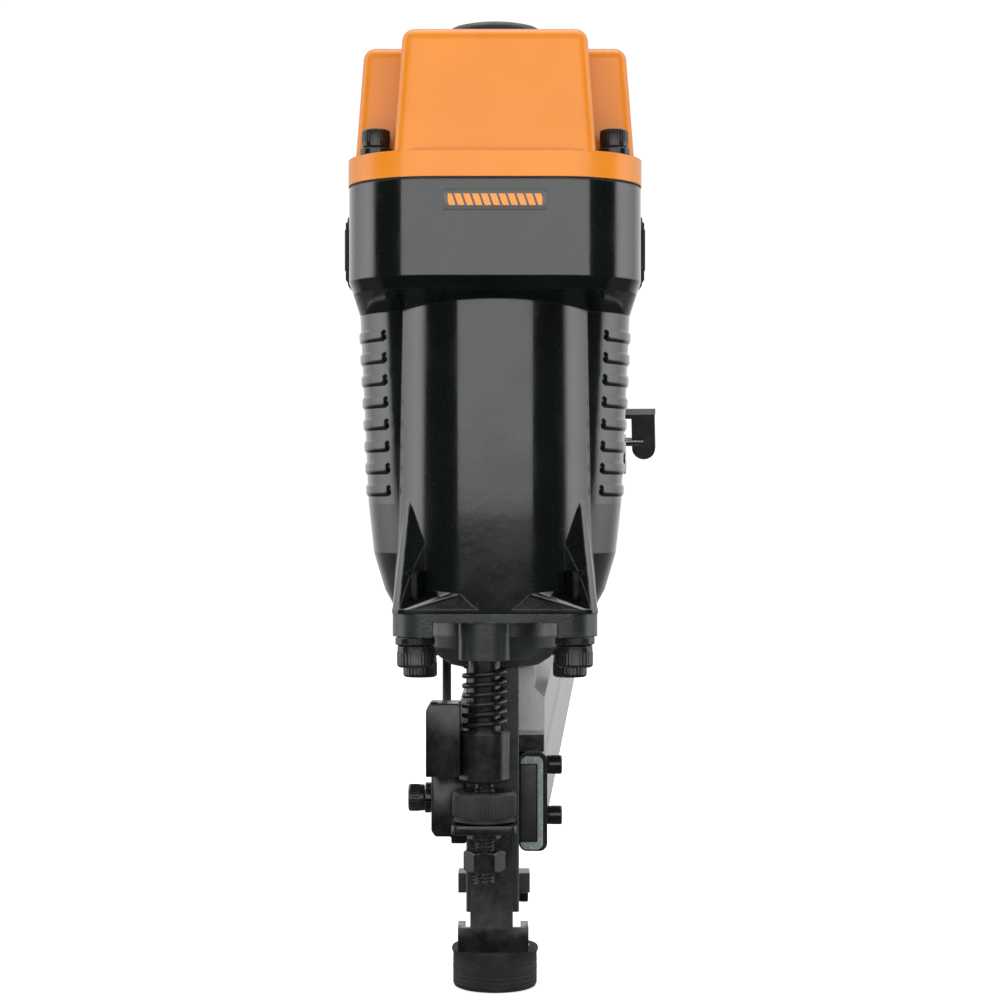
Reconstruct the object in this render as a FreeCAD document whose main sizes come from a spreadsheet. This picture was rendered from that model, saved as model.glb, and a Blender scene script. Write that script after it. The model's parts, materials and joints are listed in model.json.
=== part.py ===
"""Pneumatic framing nailer: parametric model, millimetres.

+Z is up, the tool stands on its nose, and the drive axis is the Z axis. The front faces -Y,
the handle and the magazine run back to +Y, and Z = 0 is the bottom face of the nose pad.
"""
import FreeCAD, Part
import math
import os
import re

import Sketcher

V = FreeCAD.Vector
Rotation = FreeCAD.Rotation
Placement = FreeCAD.Placement

SIZES = {
    # nose pad and contact foot
    "pad_radius": 16.0, "pad_height": 15.0, "pad_hole_radius": 8.0, "pad_seat_radius": 12.9,
    "pad_seat_level": 7.0, "foot_collar_radius": 12.85, "foot_plate_level": 15.1,
    "foot_sheet": 2.8, "foot_left": -13.5, "foot_right": 12.2, "foot_front": -15.6,
    "foot_back": 10.0, "wing_top": 24.0, "wing_back": -1.0, "wing_front": -14.0,
    "strap_left": -9.0, "strap_right": 6.5, "lug_level": 60.7, "lug_thick": 3.2,
    "lug_left": -15.5, "lug_right": 7.8, "lug_front": -37.5,
    # safety rod, its thread, spring, wheel and nut
    "rod_x": -3.8, "rod_y": -27.0, "rod_radius": 5.75, "rod_top": 124.5, "sleeve_radius": 9.15,
    "sleeve_level": 78.5, "sleeve_top": 97.1, "thread_radius": 4.0, "thread_end": 41.3,
    "thread_clearance": 0.08, "spring_wire_radius": 1.0, "spring_radius": 7.2,
    "spring_pitch": 3.55, "spring_travel": 21.3, "spring_level": 98.6,
    "wheel_radius": 11.45, "wheel_level": 64.3, "wheel_tall": 11.0, "wheel_chamfer": 0.8,
    "lock_washer_level": 58.0, "lock_washer_thick": 2.6, "lock_washer_radius": 6.2,
    "nut_level": 46.4, "nut_tall": 7.7, "nut_corner": 7.5,
    # safety link up to the trigger
    "link_left": -24.6, "link_block_right": -12.3, "link_bar_left": -20.6, "link_bar_right": -17.2,
    "link_level": 84.0, "link_bar_top": 98.0, "link_block_top": 107.0, "link_back": 54.0,
    "link_upright_front": 50.5, "link_finger_level": 186.0, "link_finger_top": 190.0,
    # nosepiece
    "column_left": -10.5, "column_right": 8.8, "column_front": -12.3, "column_back": 12.0,
    "column_level": 29.2, "column_top": 131.0, "tip_radius": 6.1, "tip_level": 11.5,
    "channel_radius": 3.6, "feed_slot_wide": 5.4, "feed_slot_level": 34.0, "feed_slot_top": 112.0,
    "flange_wide": 73.7, "flange_deep": 75.0, "flange_corner": 14.0, "flange_level": 135.8,
    "flange_top": 139.0, "front_boss_level": 130.6, "rear_boss_level": 123.0,
    "boss_inner_x": 22.4, "boss_inner_y": 19.5, "bowl_radius": 23.5, "bowl_neck_radius": 10.5,
    "bowl_level": 117.5, "bowl_top": 130.0, "rod_boss_radius": 9.2, "rod_boss_level": 122.2,
    "rod_bore_top": 134.0, "ear_level": 35.2, "ear_top": 42.3, "ear_left": -13.5,
    "ear_right": 12.8, "ear_half_deep": 6.0, "side_screw_radius": 3.3, "side_screw_y": 4.3,
    "side_screw_level": 33.4,
    "latch_left": -23.3, "latch_step": -16.0, "latch_level": 53.9, "latch_top": 80.6,
    "latch_front": -11.0, "latch_back": 9.0, "latch_screw_y": -2.0, "latch_screw_level": 69.7,
    "latch_washer_radius": 5.6, "latch_washer_thick": 2.6, "latch_head_tall": 6.0,
    "latch_socket_corner": 2.9,
    # nose bolts, M8
    "bolt_x": 28.6, "bolt_y": 28.0, "bolt_radius": 4.0, "bolt_head_radius": 6.5,
    "bolt_head_tall": 8.0, "bolt_washer_radius": 7.1, "bolt_washer_thick": 3.0,
    "bolt_into_housing": 14.0,
    # housing: column, head and handle
    "column_radius": 37.3, "foot_wide": 73.7, "foot_corner": 7.0, "foot_step_level": 140.5,
    "foot_neck_wide": 70.0, "foot_neck_corner": 30.0, "foot_neck_level": 147.0,
    "fin_top_wide": 65.0, "fin_top_deep": 42.0, "fin_top_corner": 5.0, "fin_top_level": 182.0,
    "fin_thick": 13.0, "fin_turn": 38.0,
    "base_wide": 74.0, "base_deep": 58.0, "base_corner": 27.0, "base_centre": 9.0,
    "knee_wide": 82.4, "knee_deep": 64.0, "knee_corner": 30.5, "knee_level": 146.0,
    "waist_wide": 90.8, "waist_deep": 67.0, "waist_corner": 32.5, "waist_level": 160.0,
    "hip_wide": 94.8, "hip_deep": 68.0, "hip_corner": 33.0, "hip_level": 178.0,
    "wing_centre": 13.5, "shoulder_wide": 101.0, "shoulder_deep": 69.0, "shoulder_corner": 33.5,
    "shoulder_level": 248.0, "head_wide": 105.0, "head_corner": 30.0, "head_level": 253.0,
    "head_centre": 0.0, "root_wide": 60.0, "root_tall": 60.0, "root_corner": 24.0,
    "root_back": 84.0, "lip_wide": 102.0, "lip_top": 257.5,
    "head_top": 291.0, "seat_bore_radius": 28.1, "seat_bore_top": 152.0,
    "chamber_radius": 32.5, "head_chamber_radius": 44.0,
    "handle_wide": 37.0, "handle_tall": 44.0, "handle_corner": 14.0, "handle_centre": 240.0,
    "handle_front": 36.0, "handle_back": 330.0, "handle_wall": 4.5,
    "grip_front": 122.0, "grip_back": 288.0, "grip_thick": 2.2,
    # cap
    "gasket_thick": 0.8, "cap_flange_top": 301.0, "cap_flange_wide": 105.4,
    "cap_panel_wide": 71.0, "cap_panel_top": 344.5, "cap_front": 51.5, "cap_side": 50.2,
    "cap_side_deep": 55.0, "cap_side_top": 342.3, "cap_core_half": 36.5, "cap_taper": 4.2,
    "cap_round": 4.5,
    "cap_valve_radius": 36.1, "cap_valve_top": 312.0, "cap_spring_radius": 30.0,
    "cap_inside_top": 338.0, "cap_screw_x": 42.2, "cap_screw_y": 35.0,
    "cap_screw_radius": 3.0, "cap_screw_head_radius": 5.0, "cap_screw_head_tall": 6.5,
    "cap_washer_radius": 5.6, "cap_washer_thick": 3.0, "cap_screw_depth": 14.0,
    "deflector_radius": 18.0, "deflector_level": 344.8, "deflector_top": 354.0,
    "deflector_recess_radius": 6.5, "deflector_recess_depth": 3.0,
    "pad_proud": 2.2, "pad_half_deep": 17.0, "side_pad_level": 257.8, "side_pad_top": 283.0,
    "side_pad_corner": 11.0, "label_half": 18.0, "label_thick": 0.5, "label_level": 280.0,
    "label_top": 287.4,
    # cylinder, piston, driver and head valve
    "cylinder_radius": 25.0, "cylinder_outer": 28.0, "cylinder_level": 140.0,
    "cylinder_top": 285.0, "bumper_radius": 24.8, "bumper_hole_radius": 6.0,
    "bumper_top": 158.0, "piston_radius": 24.92, "piston_level": 268.0, "piston_top": 282.0,
    "ring_groove_depth": 2.0, "ring_groove_level": 273.0, "ring_groove_tall": 3.0,
    "driver_radius": 3.52, "driver_tip": 116.0,
    "valve_radius": 36.0, "valve_hole_radius": 18.0, "valve_level": 285.3, "valve_top": 300.0,
    "valve_spring_radius": 25.0, "valve_spring_wire": 1.3, "valve_spring_pitch": 6.2,
    "stop_radius": 11.0, "stop_level": 310.0,
    # trigger
    "pivot_y": 61.0, "pivot_z": 208.0, "pivot_radius": 2.0, "pivot_length": 23.0,
    "trigger_half": 7.0, "trigger_inside_half": 4.2, "trip_half": 3.5,
    "trigger_lug_thick": 3.5, "trigger_lug_gap": 7.5, "valve_stem_y": 80.0,
    "stem_radius": 2.5, "stem_tip": 198.6, "stem_top": 221.0, "valve_body_level": 209.0,
    "valve_body_radius": 9.0, "valve_body_top": 223.0,
    # handle end and air inlet
    "inlet_wide": 44.0, "inlet_tall": 52.0, "inlet_corner": 16.0, "inlet_long": 20.0,
    "inlet_boss_radius": 13.5, "inlet_boss_long": 8.0, "inlet_thread_radius": 6.6,
    "plug_hex_corner": 9.8, "plug_hex_long": 9.0, "plug_neck_radius": 5.0,
    "plug_neck_long": 10.0, "plug_collar_radius": 5.9, "plug_collar_long": 5.0,
    "plug_tip_radius": 3.9, "plug_tip_long": 12.0, "plug_bore_radius": 2.6,
    "inlet_screw_x": 16.0, "inlet_screw_z": 20.0, "small_screw_radius": 2.0,
    "small_head_radius": 3.5, "small_head_tall": 4.0,
    # magazine, in its own slanted frame
    "magazine_rise": 21.0, "magazine_slant": 7.2, "magazine_x": 1.0, "magazine_z": 50.0,
    "magazine_half": 15.8, "magazine_shoulder": 46.0, "magazine_top_half": 12.0,
    "magazine_top": 62.0, "magazine_front_face": 13.0, "magazine_long": 452.0,
    "slot_half": 2.6, "head_slot_half": 5.0, "head_slot_level": 50.0, "head_slot_top": 57.0,
    "room_inner": 5.6, "room_outer": 12.8, "room_level": 6.0, "room_start": 45.0, "room_top": 44.0,
    "bead_radius": 2.0, "bead_sunk": 0.7, "bead_level": 25.0, "track_thick": 0.7, "track_level": 30.0,
    "rear_cap_long": 9.0, "rear_cap_wall": 1.6, "pusher_half": 1.7, "pusher_y": 405.0,
    "pusher_long": 30.0, "pusher_top": 46.0, "lever_y": 424.0,
    "lever_x": 30.0, "lever_half": 6.2, "lever_thick": 4.0, "lever_top": 26.4,
    "lever_eye_level": 7.2, "stem_level": 10.4, "stem_half": 2.4,
    # magazine front frame on the nose
    "frame_right": 19.2, "frame_front": -7.0, "frame_level": 50.6, "frame_top": 86.8,
    "band_right": 17.6, "band_front": -9.0, "band_level": 51.4,
    "band_top": 85.6, "band_side": 2.1, "band_edge": 2.8,
}

doc = FreeCAD.newDocument("framing_nailer")
sheet = doc.addObject("Spreadsheet::Sheet", "Sizes")
for row, (alias, value) in enumerate(SIZES.items(), start=1):
    sheet.set(f"A{row}", alias)
    sheet.set(f"B{row}", str(value))
    sheet.setAlias(f"B{row}", alias)
doc.recompute()

sub_parts = []


# ---------------------------------------------------------------- binding and placing

def linked(text):
    """Return an expression in which each of the sheet's names points at the sheet."""
    def point(match):
        word = match.group()
        return "Sizes." + word if word in SIZES else word
    return re.sub(r"[a-z_]\w*", point, str(text))


def bind(item, settings):
    """Bind each property to an expression made from the sheet's names."""
    for path, text in settings.items():
        item.setExpression(path, linked(text))


def place(item, x="0", y="0", z="0", turn=None):
    """Put an item at a bound position, turned by a fixed rotation."""
    item.Placement = Placement(V(), turn or Rotation())
    bind(item, {"Placement.Base.x": x, "Placement.Base.y": y, "Placement.Base.z": z})


def sub_part(item, label):
    """Register an item as one of the nailer's separate pieces."""
    item.Label = label
    sub_parts.append(item)
    return item


# ---------------------------------------------------------------- solids made from primitives

ALONG = {
    "z": Rotation(),
    "y": Rotation(V(1, 0, 0), -90),
    "x": Rotation(V(0, 1, 0), 90),
    "-x": Rotation(V(0, 1, 0), -90),
    "-z": Rotation(V(1, 0, 0), 180),
}


def rod(name, radius, length, x="0", y="0", z="0", along="z"):
    item = doc.addObject("Part::Cylinder", name)
    bind(item, {"Radius": radius, "Height": length})
    place(item, x, y, z, ALONG[along])
    return item


def cone(name, lower, upper, length, x="0", y="0", z="0", along="z"):
    item = doc.addObject("Part::Cone", name)
    bind(item, {"Radius1": lower, "Radius2": upper, "Height": length})
    place(item, x, y, z, ALONG[along])
    return item


def hexagon(name, corner, length, x="0", y="0", z="0", along="z"):
    item = doc.addObject("Part::Prism", name)
    item.Polygon = 6
    bind(item, {"Circumradius": corner, "Height": length})
    place(item, x, y, z, ALONG[along])
    return item


def block(name, x, y, z):
    """A box from three pairs of bound limits."""
    item = doc.addObject("Part::Box", name)
    bind(item, {
        "Length": f"({x[1]}) - ({x[0]})",
        "Width": f"({y[1]}) - ({y[0]})",
        "Height": f"({z[1]}) - ({z[0]})",
    })
    place(item, x[0], y[0], z[0])
    return item


def fuse(name, items):
    result = doc.addObject("Part::MultiFuse", name)
    result.Shapes = items
    result.Refine = True
    return result


def cut(name, base, tools):
    result = doc.addObject("Part::Cut", name)
    result.Base = base
    result.Tool = tools[0] if len(tools) == 1 else fuse(name + "_tools", tools)
    result.Refine = True
    return result


def common(name, items):
    result = doc.addObject("Part::MultiCommon", name)
    result.Shapes = items
    return result


def group(name, items):
    """Keep identical pieces together as separate solids."""
    result = doc.addObject("Part::Compound", name)
    result.Links = items
    return result


def rounded(name, base, wanted, radius):
    """Round the edges of a solid that the test picks out."""
    doc.recompute()
    result = doc.addObject("Part::Fillet", name)
    result.Base = base
    size = SIZES.get(radius, radius)
    numbers = [n for n, edge in enumerate(base.Shape.Edges, start=1) if wanted(edge)]
    result.Edges = [(number, size, size) for number in numbers]
    return result


def runs_along(axis):
    """Test for straight edges that run along one axis."""
    def test(edge):
        start, end = edge.Vertexes[0].Point, edge.Vertexes[-1].Point
        span = end.sub(start)
        return span.Length > 0.01 and abs(getattr(span, axis)) > 0.99 * span.Length
    return test


def coil(name, radius, wire, pitch, tall, x="0", y="0", z="0", along="z"):
    """A coil spring: a round wire swept along a helix."""
    path = doc.addObject("Part::Helix", name + "_path")
    bind(path, {"Radius": radius, "Pitch": pitch, "Height": tall})
    section = doc.addObject("Part::RegularPolygon", name + "_wire")
    section.Polygon = 8
    bind(section, {"Circumradius": wire})
    place(section, x=radius, turn=Rotation(V(1, 0, 0), 90))
    swept = doc.addObject("Part::Sweep", name)
    swept.Sections = [section]
    swept.Spine = (path, [])
    swept.Solid = True
    swept.Frenet = True
    place(swept, x, y, z, ALONG[along])
    return swept


# ---------------------------------------------------------------- sketched solids

def new_body(name):
    return doc.addObject("PartDesign::Body", name)


def sketch_on(body, plane, name, level="0"):
    """Start a sketch on one of the body's origin planes, raised by a bound level."""
    item = body.newObject("Sketcher::SketchObject", name)
    origin = [part for part in body.Origin.OriginFeatures if part.Role == plane][0]
    item.AttachmentSupport = [(origin, "")]
    item.MapMode = "FlatFace"
    bind(item, {"AttachmentOffset.Base.z": level})
    return item


def pin_point(sketch, geometry, end, x, y, near=V()):
    """Tie one end of a sketch element to bound coordinates, starting near a point."""
    for kind, text, start in (("DistanceX", x, near.x), ("DistanceY", y, near.y)):
        number = sketch.addConstraint(Sketcher.Constraint(kind, -1, 1, geometry, end, start))
        sketch.setExpression(f"Constraints[{number}]", linked(text))


def draw_outline(sketch, points):
    """Draw a closed outline through points given as pairs of bound coordinates."""
    count = len(points)
    first = sketch.GeometryCount
    for number in range(count):
        sketch.addGeometry(Part.LineSegment(V(number, number % 2, 0), V(number + 1, (number + 1) % 2, 0)))
    for number in range(count):
        following = first + (number + 1) % count
        sketch.addConstraint(Sketcher.Constraint("Coincident", first + number, 2, following, 1))
    for number, (x, y) in enumerate(points):
        pin_point(sketch, first + number, 1, x, y)


def draw_rounded_rectangle(sketch, wide, deep, corner, centre="0"):
    """Draw a rectangle with round corners, centred on the sketch's y axis at a bound height."""
    half_x, half_y = SIZES[wide] / 2, SIZES[deep] / 2
    radius, middle = SIZES[corner], SIZES.get(centre, 0.0)
    quarter = math.pi / 2
    corners = [(1, 1), (-1, 1), (-1, -1), (1, -1)]
    for number, (side_x, side_y) in enumerate(corners):
        hub = V(side_x * (half_x - radius), middle + side_y * (half_y - radius), 0)
        circle = Part.Circle(hub, V(0, 0, 1), radius)
        sketch.addGeometry(Part.ArcOfCircle(circle, number * quarter, (number + 1) * quarter))
    for number in range(4):
        following = (number + 1) % 4
        start = sketch.getPoint(number, 2)
        end = sketch.getPoint(following, 1)
        sketch.addGeometry(Part.LineSegment(start, end))
        sketch.addConstraint(Sketcher.Constraint("Coincident", number, 2, 4 + number, 1))
        sketch.addConstraint(Sketcher.Constraint("Coincident", following, 1, 4 + number, 2))
    for number, (side_x, side_y) in enumerate(corners):
        side = (f"{side_x} * {wide} / 2", f"{centre} + {side_y} * ({deep} / 2 - {corner})")
        end = (f"{side_x} * ({wide} / 2 - {corner})", f"{centre} + {side_y} * {deep} / 2")
        first, last = (side, end) if number % 2 == 0 else (end, side)
        pin_point(sketch, number, 1, *first, near=sketch.getPoint(number, 1))
        pin_point(sketch, number, 2, *last, near=sketch.getPoint(number, 2))
        bend = sketch.addConstraint(Sketcher.Constraint("Radius", number, radius))
        sketch.setExpression(f"Constraints[{bend}]", linked(corner))


def draw_circle(sketch, radius):
    """Draw a circle of a bound radius about the sketch's origin."""
    number = sketch.addGeometry(Part.Circle(V(), V(0, 0, 1), SIZES[radius]))
    sketch.addConstraint(Sketcher.Constraint("Coincident", number, 3, -1, 1))
    bend = sketch.addConstraint(Sketcher.Constraint("Radius", number, SIZES[radius]))
    sketch.setExpression(f"Constraints[{bend}]", linked(radius))


def turned(name, points):
    """A solid of revolution about Z from an outline in radius and height."""
    body = new_body(name)
    sketch = sketch_on(body, "XZ_Plane", name + "_outline")
    draw_outline(sketch, points)
    feature = body.newObject("PartDesign::Revolution", name + "_turned")
    feature.Profile = sketch
    feature.ReferenceAxis = (sketch, ["V_Axis"])
    feature.Angle = 360
    return body


def tube(name, inner, outer, bottom, top):
    return turned(name, [(inner, bottom), (outer, bottom), (outer, top), (inner, top)])


def padded(body, sketch, name, length, backwards=False, taper=None):
    feature = body.newObject("PartDesign::Pad", name)
    feature.Profile = sketch
    feature.Reversed = backwards
    bind(feature, {"Length": length})
    if taper:
        bind(feature, {"TaperAngle": taper})
    return feature


def bar_along_y(name, points, front, back):
    """A bar of constant outline in X and Z, from one bound Y to another."""
    body = new_body(name)
    sketch = sketch_on(body, "XZ_Plane", name + "_outline", f"-({front})")
    draw_outline(sketch, points)
    padded(body, sketch, name + "_bar", f"({back}) - ({front})", backwards=True)
    return body


def plate_along_x(name, points, left, right):
    """A plate of constant outline in Y and Z, from one bound X to another."""
    body = new_body(name)
    sketch = sketch_on(body, "YZ_Plane", name + "_outline", left)
    draw_outline(sketch, points)
    padded(body, sketch, name + "_plate", f"({right}) - ({left})")
    return body


# ---------------------------------------------------------------- fasteners

def cap_screw(name, shank, head, head_tall, length, x, y, z, along):
    """A socket head screw. The head's outer face is at the point, the shank runs along."""
    signs = {"z": ("0", "0", "1"), "x": ("1", "0", "0"), "-x": ("-1", "0", "0"),
             "y": ("0", "1", "0"), "-z": ("0", "0", "-1")}
    way = signs[along]
    seat = [f"({start}) + ({step}) * ({head_tall})" for start, step in zip((x, y, z), way)]
    body = rod(name + "_head", head, head_tall, x, y, z, along)
    shaft = rod(name + "_shank", shank, length, *seat, along)
    socket = hexagon(name + "_socket", f"({shank}) * 0.86", f"({head_tall}) * 0.55", x, y, z, along)
    return cut(name, fuse(name + "_blank", [body, shaft]), [socket])


def corner_places(x, y):
    return [(f"{side_x} * ({x})", f"{side_y} * ({y})") for side_x in (-1, 1) for side_y in (-1, 1)]


# ---------------------------------------------------------------- nose pad and contact foot

def make_nose_pad():
    pad = turned("nose_pad_blank", [
        ("pad_hole_radius", "0"), ("pad_radius - 1.6", "0"), ("pad_radius - 0.6", "0.6"),
        ("pad_radius - 0.4", "6.2"), ("pad_radius - 1.2", "6.9"), ("pad_radius - 1.2", "8.3"),
        ("pad_radius - 0.2", "9.0"), ("pad_radius", "pad_height - 0.6"),
        ("pad_radius - 0.7", "pad_height"), ("pad_seat_radius", "pad_height"),
        ("pad_seat_radius", "pad_seat_level"), ("pad_hole_radius", "pad_seat_level"),
    ])
    sub_part(pad, "nose_pad")


def make_contact_foot():
    plate_top = "foot_plate_level + foot_sheet"
    collar = rod("foot_collar", "foot_collar_radius", "foot_plate_level - pad_seat_level - 0.05",
                 z="pad_seat_level + 0.05")
    plate = block("foot_plate", ("foot_left", "foot_right"), ("foot_front", "foot_back"),
                  ("foot_plate_level - 0.05", plate_top))
    left = block("foot_left_wing", ("foot_left", "foot_left + foot_sheet - 0.1"),
                 ("wing_front", "wing_back"), ("foot_plate_level", "wing_top"))
    right = block("foot_right_wing", ("foot_right - foot_sheet", "foot_right"),
                  ("wing_front", "wing_back"), ("foot_plate_level", "wing_top"))
    strap = block("foot_strap", ("strap_left", "strap_right"),
                  ("foot_front", "foot_front + foot_sheet"),
                  ("foot_plate_level", "lug_level + lug_thick"))
    apron = block("foot_apron", ("foot_left", "foot_right"),
                  ("foot_front", "foot_front + foot_sheet"), ("foot_plate_level", "wing_top"))
    lug = block("foot_lug", ("lug_left", "lug_right"), ("lug_front", "foot_front + foot_sheet"),
                ("lug_level", "lug_level + lug_thick"))
    round_lug = rounded("foot_lug_round", lug, runs_along("z"), 3.0)
    hollow = rod("foot_hole", "pad_hole_radius", "40", z="0")
    thread = rod("foot_thread_hole", "thread_radius + thread_clearance", "20",
                 "rod_x", "rod_y", "lug_level - 8")
    solid = fuse("foot_blank", [collar, plate, left, right, strap, apron, round_lug])
    sub_part(cut("foot", solid, [hollow, thread]), "contact_foot")


# ---------------------------------------------------------------- safety rod and its pieces

def make_safety_rod():
    shaft = rod("rod_shaft", "rod_radius", "rod_top - sleeve_level", "rod_x", "rod_y", "sleeve_level")
    sleeve = turned("rod_sleeve", [
        ("0", "sleeve_level"), ("sleeve_radius - 1.2", "sleeve_level"),
        ("sleeve_radius", "sleeve_level + 1.2"), ("sleeve_radius", "sleeve_top - 1.2"),
        ("sleeve_radius - 1.2", "sleeve_top"), ("0", "sleeve_top"),
    ])
    place(sleeve, "rod_x", "rod_y")
    thread = rod("rod_thread", "thread_radius", "sleeve_level - thread_end + 1",
                 "rod_x", "rod_y", "thread_end")
    sub_part(fuse("rod_whole", [shaft, sleeve, thread]), "safety_rod")
    spring = coil("rod_spring", "spring_radius", "spring_wire_radius", "spring_pitch",
                  "spring_travel", "rod_x", "rod_y", "spring_level")
    sub_part(spring, "safety_spring")


def make_depth_wheel():
    body = turned("wheel_body", [
        ("thread_radius + thread_clearance", "wheel_level"),
        ("wheel_radius - wheel_chamfer", "wheel_level"),
        ("wheel_radius", "wheel_level + wheel_chamfer"),
        ("wheel_radius", "wheel_level + wheel_tall - wheel_chamfer"),
        ("wheel_radius - wheel_chamfer", "wheel_level + wheel_tall"),
        ("thread_radius + thread_clearance", "wheel_level + wheel_tall"),
    ])
    place(body, "rod_x", "rod_y")
    sub_part(body, "depth_wheel")
    washer = tube("lock_washer_body", "thread_radius + thread_clearance", "lock_washer_radius",
                  "lock_washer_level", "lock_washer_level + lock_washer_thick")
    place(washer, "rod_x", "rod_y")
    sub_part(washer, "lock_washer")
    nut = hexagon("nut_blank", "nut_corner", "nut_tall", "rod_x", "rod_y", "nut_level")
    nut_hole = rod("nut_hole", "thread_radius", "20", "rod_x", "rod_y", "nut_level - 5")
    sub_part(cut("nut", nut, [nut_hole]), "lock_nut")


def make_safety_link():
    front = bar_along_y("link_front", [
        ("link_left", "link_level - 3"), ("link_block_right", "link_level - 3"),
        ("link_block_right", "link_block_top"), ("link_left + 1.6", "link_block_top"),
        ("link_left", "link_block_top - 2.4"),
    ], "rod_y - 8", "rod_y + 9")
    bar = block("link_bar", ("link_bar_left", "link_bar_right"), ("rod_y + 5", "link_back"),
                ("link_level", "link_bar_top"))
    upright = block("link_upright", ("link_bar_left", "link_bar_right"),
                    ("link_upright_front", "link_back"), ("link_level", "link_finger_top"))
    finger = block("link_finger", ("link_bar_left", "-3"),
                   ("link_upright_front", "link_back + 4"),
                   ("link_finger_level", "link_finger_top"))
    seat = rod("link_seat", "sleeve_radius", "40", "rod_x", "rod_y", "link_level - 10")
    sub_part(cut("link", fuse("link_blank", [front, bar, upright, finger]), [seat]), "safety_link")


# ---------------------------------------------------------------- nosepiece

def bowl_shape(name, gap="0"):
    """The round bowl under the flange, grown by a gap."""
    return turned(name, [
        ("0", f"bowl_level - {gap}"), (f"bowl_neck_radius + {gap}", f"bowl_level - {gap}"),
        (f"bowl_radius * 0.7 + {gap}", f"bowl_level + 1.4 - {gap}"),
        (f"bowl_radius * 0.88 + {gap}", f"bowl_level + 4.2 - {gap}"),
        (f"bowl_radius * 0.97 + {gap}", f"bowl_level + 8 - {gap}"),
        (f"bowl_radius + {gap}", "bowl_top"), (f"bowl_radius + {gap}", "flange_top"),
        ("0", "flange_top"),
    ])


def make_nosepiece():
    body = new_body("flange_body")
    sketch = sketch_on(body, "XY_Plane", "flange_outline", "flange_level")
    draw_rounded_rectangle(sketch, "flange_wide", "flange_deep", "flange_corner")
    padded(body, sketch, "flange_pad", "flange_top - flange_level")
    envelope = new_body("boss_envelope")
    outline = sketch_on(envelope, "XY_Plane", "boss_outline", "rear_boss_level")
    draw_rounded_rectangle(outline, "flange_wide", "flange_deep", "flange_corner")
    padded(envelope, outline, "boss_pad", "flange_top - rear_boss_level")
    bosses = []
    for number, (side_x, side_y) in enumerate([(-1, -1), (1, -1), (-1, 1), (1, 1)]):
        level = "front_boss_level" if side_y < 0 else "rear_boss_level"
        limits_x = ("boss_inner_x", "40") if side_x > 0 else ("-40", "-boss_inner_x")
        limits_y = ("boss_inner_y", "40") if side_y > 0 else ("-40", "-boss_inner_y")
        bosses.append(block(f"boss_{number}", limits_x, limits_y, (level, "flange_level + 1")))
    corner_bosses = common("corner_bosses", [envelope, fuse("boss_blocks", bosses)])
    bowl = bowl_shape("bowl")
    rod_boss = rod("rod_boss", "rod_boss_radius", "flange_level + 1 - rod_boss_level",
                   "rod_x", "rod_y", "rod_boss_level")
    column = block("column", ("column_left", "column_right"), ("column_front", "column_back"),
                   ("column_level", "column_top"))
    round_column = rounded("column_round", column, runs_along("z"), 1.2)
    tip = rod("tip", "tip_radius", "column_level - tip_level + 2", z="tip_level")
    left_ear = block("left_ear", ("ear_left", "column_left + 1"),
                     ("-ear_half_deep", "ear_half_deep"), ("ear_level", "ear_top"))
    right_ear = block("right_ear", ("column_right - 1", "ear_right"),
                      ("-ear_half_deep", "ear_half_deep"), ("ear_level", "ear_top"))
    blank = fuse("nose_blank", [body, corner_bosses, bowl, rod_boss, round_column, tip,
                                left_ear, right_ear])
    tools = [
        rod("nose_channel", "channel_radius", "200", z="-5"),
        block("nose_feed_slot", ("-feed_slot_wide / 2", "feed_slot_wide / 2"),
              ("0", "column_back + 5"), ("feed_slot_level", "feed_slot_top")),
        rod("nose_rod_bore", "rod_radius + thread_clearance", "rod_bore_top - 100",
            "rod_x", "rod_y", "100"),
        rod("side_screw_room", "side_screw_radius + 0.1", "10", "column_right", "side_screw_y",
            "side_screw_level", "x"),
    ]
    for number, (x, y) in enumerate(corner_places("bolt_x", "bolt_y")):
        tools.append(rod(f"nose_bolt_hole_{number}", "bolt_radius", "60", x, y, "100"))
    sub_part(cut("nose", blank, tools), "nosepiece")


def make_nose_bolts():
    bolts, washers = [], []
    for number, (x, y) in enumerate(corner_places("bolt_x", "bolt_y")):
        level = "front_boss_level" if y.startswith("-1") else "rear_boss_level"
        head_level = f"{level} - bolt_washer_thick - bolt_head_tall"
        length = f"flange_top + bolt_into_housing - {level} + bolt_washer_thick"
        bolts.append(cap_screw(f"nose_bolt_{number}", "bolt_radius", "bolt_head_radius",
                               "bolt_head_tall", length, x, y, head_level, "z"))
        washer = tube(f"nose_washer_{number}", "bolt_radius", "bolt_washer_radius",
                      f"{level} - bolt_washer_thick", level)
        place(washer, x, y)
        washers.append(washer)
    sub_part(group("nose_bolt_group", bolts), "nose_bolts")
    sub_part(group("nose_washer_group", washers), "nose_spring_washers")


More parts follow.
